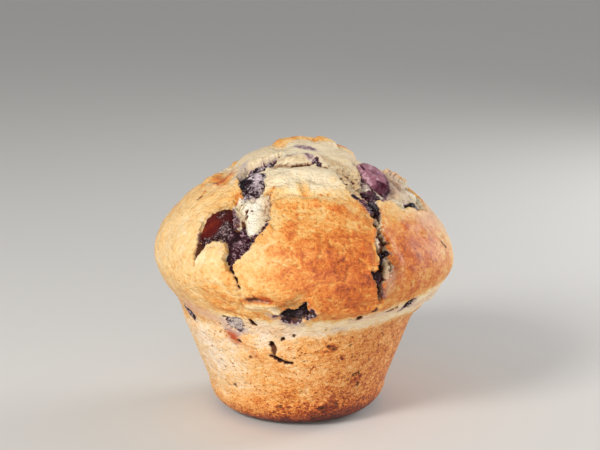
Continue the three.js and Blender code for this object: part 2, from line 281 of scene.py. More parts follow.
# crumb left standing inside a tear: (bearing, height, half width, rise from the floor)
ridges = [
    [(-30.4, 67.2, 2.6, 1), (-26, 66, 4.4, 1.4), (-22, 65, 5, 1.7), (-20.6, 62.6, 3.4, 1.3)],
    [(-24, 69.4, 2, 1.4), (-22.4, 66.4, 3, 1.7), (-21.6, 63.8, 3, 1.7), (-21, 62, 2, 1.3), (-20.4, 61, 1.2, 0.9)],
    [(-21, 69.6, 1.6, 1.9), (-18.6, 70.4, 1.6, 2), (-17, 71.4, 1.2, 1.8)],
    [(-38, 69.4, 1.3, 1.1), (-34.6, 68.2, 1.3, 1.1), (-31.4, 67.6, 1.1, 0.9), (-28.6, 68.4, 1.2, 0.9)],
    [(-36.4, 66.8, 0.9, 1.8), (-34, 65.2, 0.9, 2), (-31.8, 63.2, 0.9, 2), (-29.6, 61.8, 0.9, 1.8)],
    [(-27.4, 61, 0.8, 1.2), (-28.8, 61.8, 0.7, 1.2), (-28.4, 62.6, 0.6, 0.9)],
    [(-16.6, 69.6, 1.6, 2.4), (-15.8, 67.6, 2.2, 2.3), (-15.6, 65.4, 2.2, 2.2), (-16.4, 63.4, 1.4, 1.7)],
    [(30.2, 60, 1.2, 2.4), (31, 58.6, 2, 3.6), (31.6, 57.4, 1.6, 3)],
    [(36.8, 64.6, 1.2, 2), (35.4, 62.6, 1.2, 1.8)],
    [(31.6, 54.4, 0.9, 1.9), (32.8, 52.4, 1.4, 2.8), (31, 50.2, 1.2, 2.4), (29.4, 48, 0.7, 2)],
    [(46, 72, 1.3, 1.4), (45, 70.4, 0.9, 1.2), (43, 69.4, 0.6, 0.7)],
    [(70, 70.6, 2.4, 1.5), (66, 68, 2.2, 1.4), (78, 68, 2.6, 1.4), (84, 66, 2, 1)],
    [(57, 67.6, 1.3, 1), (61, 66.2, 1.2, 0.9)],
    [(140, 63.4, 1.4, 1.5), (146, 64.4, 1.4, 1.4), (152, 67, 1.2, 1.2)],
    [(-128, 70.6, 1.2, 1.2), (-118, 71.4, 1.2, 1.1)],
]


# raised crust near the top: (across, back) round each edge, seen from above
plates = {
    "crown": {
        "lift": 1.2, "ease": 2,
        "edge": [
            (-8, 4), (-5, 1.6), (0, 1), (6, 1.4), (12, 1.8), (15.6, 2.6), (17.2, 5.5), (16, 12), (12, 17),
            (5, 20), (-2, 19.5), (-8, 15), (-9.6, 9),
        ],
    },
    "topStep": {
        "lift": 0.75,
        "edge": [
            (5, -1.5), (9.4, -1), (10.2, 2), (9.8, 7), (7.5, 11), (4.5, 9), (3.6, 4),
        ],
    },
    "rightCorner": {
        "lift": 1.35,
        "edge": [
            (25.4, -4), (24.6, 0), (24.8, 5), (29, 5.5), (31.4, 1), (31, -3.5), (28.6, -5),
        ],
    },
}


# half: half sizes along, across and out of the skin; look picks the shape and the finish;
# stain is how far the juice reaches
berries = {
    "berry_top_left": dict(at=(-36.5, 73), half=(5.8, 4.6, 4), sink=3, turn=26, look="bloomed", stain=0.9),
    "berry_left_skin": dict(at=(-42, 61.6), half=(7.4, 7, 4.6), sink=3.6, turn=-8, look="wine", stain=1),
    "berry_left_crushed": dict(at=(-27.5, 57), half=(7.6, 5, 3.6), sink=3.8, turn=-10, look="crushed", stain=1),
    "berry_top_front": dict(at=(18, 77.4), half=(2.8, 1.3, 1.9), sink=1.3, turn=50, look="crushed", stain=0.5),
    "berry_right_burst": dict(at=(61.4, 73.3), half=(6.6, 4.5, 4.2), sink=1.35, turn=18, look="flesh", stain=0.8),
    "berry_right_dark": dict(at=(38.4, 67), half=(2.6, 1.9, 2.2), sink=1.7, turn=-6, look="dark", stain=1.4),
    "berry_right_edge": dict(at=(67.6, 65), half=(1.2, 2.2, 1.7), sink=1.4, turn=0, look="dark", stain=1),
    "berry_crack_low": dict(at=(26.2, 50), half=(2.3, 2.3, 2), sink=2, turn=20, look="crushed", stain=0.5),
    "berry_front_rim": dict(at=(-4.2, 39), half=(2.5, 4.5, 3), sink=2.9, turn=-14, look="dark", stain=1.3),
    "berry_neck_left": dict(at=(-29.6, 33.8), half=(3, 5.2, 2.6), sink=2, turn=0, look="filmed", stain=0.5),
    "berry_neck_side": dict(at=(-63, 32.8), half=(1.3, 2.8, 2), sink=1.5, turn=34, look="crushed", stain=0.9),
    "berry_back_tear": dict(at=(141, 67.4), half=(6.2, 5.6, 4.2), sink=3.6, turn=20, look="bloomed", stain=1),
    "berry_back_crack": dict(at=(-158.5, 56.5), half=(4.2, 3.6, 3.2), sink=3, turn=0, look="dark", stain=1),
    "berry_back_left": dict(at=(-123, 69.2), half=(5.4, 4.6, 3.6), sink=3.2, turn=40, look="wine", stain=1),
    "berry_back_rim": dict(at=(-128, 39.4), half=(2.9, 4.2, 3), sink=2.3, turn=0, look="crushed", stain=1),
    "berry_side_skin": dict(at=(121, 54), half=(3.6, 3.4, 3), sink=2, turn=0, look="bloomed", stain=1),
}


# scraps of berry too small for a solid of their own
berryScraps = {
    "blueberry_under_burst": dict(at=(42.4, 69.5), half=(2, 3.6, 2), sink=1.7, turn=20, look="crushed"),
    "blueberry_crack_upper": dict(at=(30, 54.8), half=(1.8, 1, 1.4), sink=2, turn=0, look="dark"),
    "blueberry_crack_side": dict(at=(33.4, 55.8), half=(0.8, 0.6, 0.9), sink=1, turn=0, look="dark"),
    "blueberry_right_rim": dict(at=(43.8, 39.6), half=(1.8, 1.2, 1.4), sink=0.6, turn=30, look="crushed"),
}


# bits of burst berry and of crumb lying in the torn places: how many, (smallest, largest)
# and the stops of the route that they lie along
bits = {
    "blueberryBits": {
        "look": "bloomed",
        "seed": 3,
        "beds": [
            (56, (0.6, 1.3), (-51, 75, 0.6), (-47, 76.4, 0.7), (-42, 77.3, 0.8), (-36, 78, 0.9),
             (-30, 78.5, 0.8)),
            (10, (0.4, 0.8), (-52, 73.8, 0.6), (-46, 72.6, 0.6)),
            (46, (0.4, 0.9), (-9, 38, 0.6), (-5.4, 37.2, 0.7), (-2, 37.2, 0.7), (1, 38.4, 0.8), (3, 39.6, 0.8)),
            (40, (0.25, 0.55), (-34, 35, 1.2), (-30, 34, 1.8), (-27, 33, 1.4)),
            (12, (0.3, 0.6), (0.2, 42.8, 0.5), (-1.4, 41, 0.8)),
            (16, (0.4, 0.8), (33.6, 56.4, 0.5), (31.6, 55, 0.7), (29.6, 52.8, 0.5)),
            (8, (0.3, 0.6), (26, 50.6, 0.8), (27, 47, 0.4)),
            (8, (0.3, 0.7), (32, 51.8, 0.6), (34, 51.6, 0.8)),
            (10, (0.4, 0.8), (-66, 34, 0.4), (-62, 32.4, 0.5)),
            (14, (0.4, 0.8), (33, 68.4, 0.8), (34.2, 66.6, 0.8), (33.8, 65, 0.5)),
            (12, (0.3, 0.7), (-16, 63.4, 0.4), (-19, 61, 0.6), (-23, 59.8, 0.8)),
            (10, (0.3, 0.6), (-34, 65.6, 0.7), (-30.6, 62, 0.7)),
            (8, (0.3, 0.6), (66.6, 64.6, 0.6), (72, 64.4, 0.7)),
            (8, (0.3, 0.6), (44, 39, 0.5), (46, 41, 0.3)),
            (8, (0.3, 0.6), (14, 77.9, 0.6), (19, 77.6, 0.6)),
            (14, (0.4, 0.8), (135, 66, 1), (143, 70, 1.4)),
            (10, (0.4, 0.8), (-128, 68, 1), (-118, 70.6, 1)),
            (12, (0.3, 0.7), (-158, 60, 0.8), (-158, 52, 0.8)),
        ],
    },
    "crumbBits": {
        "look": "crumb",
        "seed": 8,
        "beds": [
            (16, (0.3, 0.7), (-35, 68.6, 1), (-31, 67.4, 1), (-29.4, 65.4, 0.8), (-29, 62.4, 0.6)),
            (10, (0.2, 0.5), (-16, 68, 1), (-16.6, 64.4, 1)),
            (8, (0.3, 0.6), (-35, 69.8, 0.6), (-28, 69.8, 0.6)),
            (16, (0.3, 0.6), (36.6, 64.8, 0.8), (35.2, 62.6, 0.8), (34, 60.6, 0.4)),
            (12, (0.3, 0.6), (32.4, 53, 0.8), (31, 50, 0.7)),
            (16, (0.25, 0.5), (34, 75.4, 2.2), (36, 73, 2.4), (33, 70.4, 1.4)),
            (8, (0.3, 0.6), (44, 71.8, 1), (46, 70.4, 0.8), (52, 67.2, 1)),
            (6, (0.25, 0.5), (46, 38.6, 0.5)),
            (26, (0.3, 0.8), (135, 63.4, 1.2), (150, 66, 1.6), (140, 71, 1.4)),
            (20, (0.3, 0.8), (-130, 69, 1.4), (-114, 69, 1.4)),
            (30, (0.3, 0.7), (-165, 70, 0.8), (-161, 63, 1), (-158, 55, 1), (-154, 47, 0.8)),
            (16, (0.3, 0.7), (101, 64, 0.8), (103, 55, 0.8), (104, 49, 0.6)),
            (14, (0.3, 0.7), (-112, 64, 0.8), (-111, 56, 0.8), (-108, 50, 0.5)),
        ],
    },
}


# light and dark parts of a berry's skin, by kind, with painted glints and painted shade among them: amount, then
# the stops of the route
berryMarks = {
    "film": [
        (0.9, (-37, 74.8, 1), (-32, 73.6, 1.3), (-28, 71.8, 1.2), (-27.4, 70.4, 1)),
        (0.5, (-50, 74, 0.8), (-45, 72.6, 0.7)),
        (1, (56, 78, 2), (70, 78, 2.4), (86, 76.8, 2.6), (98, 74.6, 2.2)),
        (0.6, (68, 74.8, 0.6), (73, 73.8, 0.7), (78, 73, 0.6)),
    ],
    "dark": [
        (0.75, (-47.5, 74.4, 1.1), (-42, 72.8, 1.6), (-38, 71, 1.3)),
        (1, (-46, 75.4, 0.8), (-38, 75.6, 0.7), (-31, 75.4, 0.7)),
        # painted shadow under the crust's edge along the berry's left and top, with the skin's own darker rim
        (0.9, (-48, 58, 1.2), (-50.4, 61, 1.3), (-49.6, 64, 1.3), (-44, 66, 1.2), (-38, 67.4, 1.4)),
        (0.6, (-39.5, 65.6, 1.2), (-37, 64, 1.2)),
        (0.8, (-40.4, 66, 1.2), (-37, 65, 1.6), (-33.6, 63.6, 1.4), (-31.6, 62, 0.8)),
        (0.8, (54, 74.4, 0.5), (58, 75.6, 0.5)),
        (0.8, (53, 71.4, 0.7), (55, 70, 0.9), (61, 69.4, 1), (70, 70, 0.8)),
        (0.9, (43, 74, 0.7), (46, 72.6, 0.8), (49, 71, 0.9), (52, 69.8, 0.9)),
    ],
    "warm": [
        (0.7, (-43, 73.6, 1), (-40, 71.6, 1)),
        (1, (40, 71, 1.2), (44, 70.4, 1.5)),
        (1, (-46.4, 60.6, 1), (-44.4, 62, 1.4), (-42.4, 63, 1.2)),
    ],
    # painted glints: bright squiggles on wet berry skin
    "glintCurls": [
        (1, (-42, 59.6, 0.8), (-39, 60.6, 1.4), (-36, 61.6, 1.5), (-33, 61.2, 1.2)),
        (1, (-35, 74.4, 1), (-30, 73, 1.4), (-28.4, 71, 1.2)),
        (0.6, (-28, 58, 1.2), (-25.6, 59.4, 1)),
        (1, (-2, 39.6, 0.8), (0, 39, 0.8)),
        (0.8, (37.6, 68, 0.7), (39.4, 67, 0.7)),
    ],
    "pulp": [
        (1, (-43, 58.6, 1), (-39, 60.4, 1.8), (-36, 61.6, 1.8), (-32.6, 60.8, 1.8)),
        (1, (80, 73.6, 1), (80, 71.6, 1.2), (72, 70.4, 1.3), (62, 70, 1.2)),
    ],
    "skin": [
        (1, (-46.6, 60.6, 1.8), (-44, 62.4, 2.2), (-41, 63.4, 1.8)),
        (0.8, (60, 74.6, 0.8), (66, 73.4, 1.2), (70, 72.2, 1.2)),
    ],
}


def smooth(start, end, value):
    t = np.clip((value - start) / (end - start), 0, 1)
    return t * t * (3 - 2 * t)


def between(start, full, fade, end, value):
    return smooth(start, full, value) * (1 - smooth(fade, end, value))


def bump(value, middle, width):
    return np.exp(-((value - middle) / width) ** 2)


def unit(vectors):
    return vectors / np.maximum(np.linalg.norm(vectors, axis=-1, keepdims=True), 1e-9)


def skinRadius(height):
    s = shape
    h = np.clip(np.asarray(height, float), 0, s["height"])
    foot = s["standRadius"] + (s["footRadius"] - s["standRadius"]) * np.sqrt(
        np.clip(1 - (1 - h / s["footHeight"]) ** 2, 0, 1))
    wall = s["footRadius"] + (s["neckRadius"] - s["footRadius"]) * (h - s["footHeight"]) / (
        s["neckHeight"] - s["footHeight"])
    rise = np.clip((h - s["neckHeight"]) / (s["capHeight"] - s["neckHeight"]), 0, 1)
    flare = np.sin(rise * math.pi / 2) ** s["overhangCurve"]
    overhang = s["neckRadius"] + (s["capRadius"] - s["neckRadius"]) * flare
    rise = np.clip((h - s["capHeight"]) / (s["height"] - s["capHeight"]), 0, 1)
    dome = s["capRadius"] * (1 - rise ** s["domeFall"]) ** s["domeRound"]
    return np.select([h < s["footHeight"], h < s["neckHeight"], h < s["capHeight"]], [foot, wall, overhang], dome)


# the outline as a table of distance along the skin from the middle of the base
outlineHeights = shape["height"] * (1 - np.cos(np.linspace(0, math.pi, 3000))) / 2
outlineRadii = skinRadius(outlineHeights)
outlineSteps = np.hypot(np.diff(outlineHeights), np.diff(outlineRadii))
outlineAlong = shape["standRadius"] + np.concatenate([[0], np.cumsum(outlineSteps)])


def heightAlong(along):
    return np.interp(along, outlineAlong, outlineHeights)


def alongAt(height):
    return np.interp(height, outlineHeights, outlineAlong)


def unevenness(angle, height):
    s = shape
    lobes = s["lobes"] * (np.sin(2 * angle) + 0.6 * np.cos(3 * angle))
    lumps = s["lumps"] * np.sin(5 * angle + height / 6) * np.sin(height / 5 + 2 * angle + 1.3)
    side = bump(angle, math.pi / 2, 0.45) * bump(height, s["rimSagHeight"], 3)
    onCap = between(*s["capOver"], height)
    onBase = between(*s["baseOver"], height)
    return onCap * (lobes + lumps) + onBase * s["lobesOnBase"] * lobes + s["rimSag"] * side


def placeOnSkin(bearing, height, radius):
    s = shape
    angle = np.radians(bearing)
    shift = s["baseShift"] + s["capShift"] * smooth(*s["capShiftOver"], height)
    shift = shift + s["topShift"] * smooth(*s["topShiftOver"], height)
    return np.stack([shift + radius * np.sin(angle), -radius * np.cos(angle), height + 0 * radius], -1)


def onSkin(bearing, height):
    radius = skinRadius(height) + unevenness(np.radians(bearing), height)
    return placeOnSkin(bearing, np.asarray(height, float), radius)


# right, up and out directions of the skin, from points a little to each side
def skinDirections(bearing, height):
    step = 0.4
    low = np.maximum(step / 2, np.asarray(height, float) - step)
    high = np.minimum(shape["height"] - step / 2, np.asarray(height, float) + step)
    right = unit(onSkin(bearing + 1, height) - onSkin(bearing - 1, height))
    up = unit(onSkin(bearing, high) - onSkin(bearing, low))
    return right, up, unit(np.cross(right, up))


# the middle of the whole stands over the origin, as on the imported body
plainBearings, plainHeights = np.meshgrid(np.linspace(-180, 180, 721), np.linspace(30, 70, 161))
plainSkin = onSkin(plainBearings.ravel(), plainHeights.ravel())
recentre = np.array([*(-(plainSkin.max(0) + plainSkin.min(0)) / 2)[:2], 0])

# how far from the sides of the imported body's box the easing starts, and the gap that it leaves
boxEase = {"start": 0.75, "gap": 0.02}


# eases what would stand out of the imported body's box back inside it
def easeInside(points):
    room = boxEase["start"]
    eased = points.copy()
    for axis in range(3):
        for sign, corner in zip((-1, 1), cadBox):
            if axis == 2 and sign < 0:
                continue
            bound = abs(corner[axis] / mm) - room
            over = sign * points[:, axis] - bound
            soft = (room - boxEase["gap"]) * (1 - np.exp(-np.maximum(over, 0) / room))
            eased[:, axis] = np.where(over > 0, sign * (bound + soft), eased[:, axis])
    return eased


def seedOffset(seed):
    return Vector((seed * 7.31, seed * 3.17, seed * 5.53))


# noise at many points, about -1 to 1
def grain(points, size, octaves=3, seed=0):
    offset = seedOffset(seed)
    return np.array([noise.fractal(Vector(p) / size + offset, 0.9, 2.0, octaves) for p in points])


# distance to the nearest cell middle, in cell sizes
def cells(points, size, seed=0):
    offset = seedOffset(seed)
    return np.array([noise.voronoi(Vector(p) / size + offset)[0][0] for p in points])


# a patch of the skin laid flat round one bearing
def chart(bearing, height, middle):
    away = (np.asarray(bearing, float) - middle + 180) % 360 - 180
    return np.radians(away) * skinRadius(height), alongAt(height)


# how far inside a closed outline each point lies, negative outside
def insideOutline(across, along, edge):
    nearest = np.full(across.shape, 1e9)
    inside = np.zeros(across.shape, bool)
    for (a0, b0), (a1, b1) in zip(edge, edge[1:] + edge[:1]):
        da, db = a1 - a0, b1 - b0
        t = np.clip(((across - a0) * da + (along - b0) * db) / (da * da + db * db + 1e-9), 0, 1)
        nearest = np.minimum(nearest, np.hypot(across - a0 - t * da, along - b0 - t * db))
        if abs(db) > 1e-9:
            inside ^= ((b0 > along) != (b1 > along)) & (across < a0 + (along - b0) / db * da)
    return np.where(inside, nearest, -nearest)


def insideTear(bearing, height, tear):
    chartReach = 60           # no tear comes this far round
    across, along = chart(bearing, height, tear["middle"])
    corners = [chart(b, h, tear["middle"]) for b, h in tear["edge"]]
    inside = insideOutline(across, along, [(float(a), float(b)) for a, b in corners])
    return np.where(np.abs(across) < chartReach, inside, -chartReach)


# how far inside a route's stroke each point lies, and how near its middle line: 1 on it, 0 at the edge
def insideStroke(points, route):
    longest = 2.5             # between two stops, so that the stroke follows the skin
    margin = 4
    outside = -9.0
    stops = []
    for first, last in zip(route, route[1:]):
        steps = max(1, round(float(np.linalg.norm(onSkin(*last[:2]) - onSkin(*first[:2]))) / longest))
        for step in range(steps):
            stops.append([a + (b - a) * step / steps for a, b in zip(first, last)])
    stops.append(list(route[-1]))
    places = [onSkin(b, h) for b, h, half in stops]
    reach = max(stop[2] for stop in stops) + margin
    centre = np.mean(places, axis=0)
    span = max(np.linalg.norm(place - centre) for place in places) + reach
    inside = np.full(len(points), outside)
    share = np.full(len(points), outside)
    near = np.flatnonzero(((points - centre) ** 2).sum(1) < span * span)
    if len(places) == 1:
        places, stops = places * 2, stops * 2
    for (start, end), (first, last) in zip(zip(places, places[1:]), zip(stops, stops[1:])):
        way = end - start
        t = np.clip((points[near] - start) @ way / (way @ way + 1e-9), 0, 1)
        away = np.linalg.norm(points[near] - start - t[:, None] * way, axis=1)
        half = first[2] + (last[2] - first[2]) * t
        inside[near] = np.maximum(inside[near], half - away)
        share[near] = np.maximum(share[near], 1 - away / half)
    return inside, share


def widest(route):
    return max(stop[2] for stop in route)


bodyLook = {
    "splits": 7,              # each split halves the size of the faces
    "frontShare": 0.24,       # crowds the faces towards the front
    "noises": {"broad": (8, 2, 3), "rough": (2.6, 3, 1), "fine": (0.9, 3, 2)},    # size, octaves, seed
    "swell": 0.45,            # broad unevenness of the cap
    "capOver": (32, 42),      # heights between which the base's skin turns into the cap's
    "baseOver": (3, 7, 30, 34),
    "ragged": 0.55,           # unevenness of torn edges
    "crustGrain": 0.03,
    "baseGrain": 0.14,
    "markDepth": 0.9,         # of a hollow mark at its full amount
    "juiceAmount": 0.8,
    "sharpEdge": 55,          # degrees
}

# lumps, holes and grain of the torn crumb, and the painted shade in its low places and holes
crumbLook = {
    "lumpSize": 1.9, "lumpHeight": 0.8, "lumpOnCrown": 0.1, "lumpOnRough": 0.8,
    "holeSize": 3.1, "holeDepth": 0.9, "holeShade": 0.35, "gapShade": 0.4,
    "grain": 0.4,
}

# the crown is soft, rough dough rather than crust
crownLook = {
    "over": (72.2, 75.2),     # heights
    "backOver": (1.2, -0.2),
    "leftOver": (-25, -21),
    "roughRoute": [(36, 75.4, 3.4), (37, 72.6, 3.6), (33, 70, 1.8)],
    "bake": 0.24, "bakeOver": (76, 80),
}

# spans and places are distances inside the torn edge, in mm
tearLook = {
    "roughShare": 0.6, "fineShare": 1.1,    # of the two noises in the ragged edge
    "floor": 0.25,            # unevenness of the floor
    "wallFrom": -0.05,
    "crumbOver": (-0.02, 0.2),
    "lumpsFrom": -1,
    "lipAt": (-0.35, 0.7),    # middle and width
    "darkOver": (0.1, 0.6),
}

# a thin crack can't be as deep as a wide one
crackLook = {
    "leastDepth": 0.7, "depthByWidth": 2.2,
    "ragged": 0.5, "raggedFloor": 0.3,
    "cutOver": (-0.2, 0.45),
    "wallDepth": 0.35,        # share of the depth that is reached at the edge
    "darkOver": (-0.1, 0.4),
    "lip": 0.12, "lipAt": (-0.4, 0.5),
}

# crumb that still stands in the tears; a share is 1 along its crest and 0 at its foot. Standing crumb clears the
# painted shade and gets painted light
ridgeLook = {"over": (-0.2, 0.8), "ragged": 0.2, "underSkin": 0.1, "clears": 0.95, "clearsOver": (0.2, 0.7)}


# soft folds and dents of the crust: half width, rise, then (bearing, height) along the route
folds = [
    (1.5, 0.55, (-14, 68.2), (-8, 69), (-2, 69.3), (6, 69), (14, 68.7), (22, 67.4)),
    (1.0, -0.55, (-12, 70.8), (-4, 71.1), (2, 70.6), (10, 70.9), (18, 70.6)),
    (0.9, -0.5, (2.4, 71), (2, 72.6), (1, 74)),
    (2.2, 0.9, (-14, 74.6), (-6, 75.6), (4, 75.7), (14, 75.2), (24, 74.4)),
    (1.4, 1.3, (-14, 78.2), (-2, 78.6), (10, 78.7), (22, 78.3)),
    (2.2, -0.7, (-40, 80.4), (-60, 80.8), (-90, 81)),
    (1.4, -0.5, (9, 73.6), (15, 73.2), (22, 73.2)),
    (1.3, 0.45, (-13.6, 66.8), (-12.8, 64.6), (-14, 62.4), (-17, 60.4), (-19, 57.6), (-22.6, 54.8),
     (-25.4, 52.6)),
    (1.0, 0.35, (3, 57.2), (9, 57.8), (15, 57)),
    (0.8, 0.3, (4, 59), (8, 58.8)),
    (0.9, -0.35, (-3, 55.2), (4, 54.6), (11, 55.2)),
    (0.6, -0.5, (13, 55.4), (16, 54.8)),
    (0.7, -0.25, (-66, 49.2), (-58, 49.4)),
    (0.7, -0.2, (-54, 49.8), (-48, 50.6)),
    (1.1, 0.2, (-43, 54), (-39, 55.4), (-35, 56.4), (-32.4, 55.6)),
    (0.7, -0.35, (-35, 53), (-31, 52.6)),
    (0.8, 0.3, (-38, 48.2), (-34, 47.8), (-29, 47.8)),
    (0.6, -0.3, (-36, 47), (-32, 46.6)),
    (0.7, 0.25, (-33, 45), (-29, 45.4)),
    (1.7, 0.8, (-20.8, 41.8), (-16, 42.2), (-11.6, 41.2), (-8.4, 39.8)),
    (1.4, 0.4, (-38, 40.5), (-30, 39.4), (-22, 38.6)),
    (1.2, 0.55, (3.4, 46.2), (3.6, 43.4), (5, 41)),
    (1.6, 0.5, (6, 40.6), (14, 39.6), (24, 40), (34, 41.2)),
    (1.4, 0.35, (24.6, 58), (25, 54), (23, 51)),
    (1.6, 0.3, (36, 57), (37, 53), (35.4, 49), (32.6, 45.4)),
    (1.4, 0.35, (46, 63), (50, 61), (56, 60.6)),
    (0.7, 0.4, (-64, 70.2), (-69, 70.4)),
    (1.6, -0.4, (-58, 71.8), (-68, 72.2)),
    (2.4, -1.2, (72, 77.4), (88, 76.8), (104, 76)),
    (2.6, -1.9, (66, 76), (80, 75.4), (96, 74.6), (112, 74.2)),
    (2.4, -0.7, (78, 73.4), (92, 72.6), (104, 71.6)),
    (4, -2.1, (-78, 72.6), (-90, 73.8), (-100, 75)),
    (4, -1.25, (-96, 68.6), (-101, 71.6), (-108, 73.6), (-115, 76)),
    (4, -1.2, (-119, 75.4), (-114, 73), (-110, 70), (-107, 67)),
    (3, -1.1, (116, 79), (114, 77), (121, 74), (118, 72)),
    (3, -0.9, (-60, 81), (-110, 80.6)),
    (2, -0.5, (-70, 80.6), (-84, 80.8)),
    (2.4, -0.9, (-125, 80.6), (-134, 81.2)),
    (3, -1.1, (129, 72.6), (118, 73.4), (110, 73.8)),
    (3, -0.8, (97, 63), (103, 60)),
    (1.6, -1.1, (62, 35.4), (70, 35), (80, 35.4)),
    (2, 0.7, (60, 80.6), (90, 80)),
    (1.2, -0.4, (120, 50), (132, 51), (144, 49.5)),
    (1.5, 0.45, (-140, 62), (-132, 58), (-128, 53)),
    (1.5, 0.45, (165, 60), (174, 57), (-176, 58)),
    (1.4, 0.35, (-90, 60), (-80, 57), (-76, 52)),
    (1.4, 0.35, (90, 56), (84, 51), (88, 47)),
    (1.4, 0.6, (150, 76), (170, 77.4), (-170, 76.4)),
    (1.2, -0.5, (120, 76), (105, 75)),
    (1.3, 0.5, (-100, 75), (-120, 76)),
]
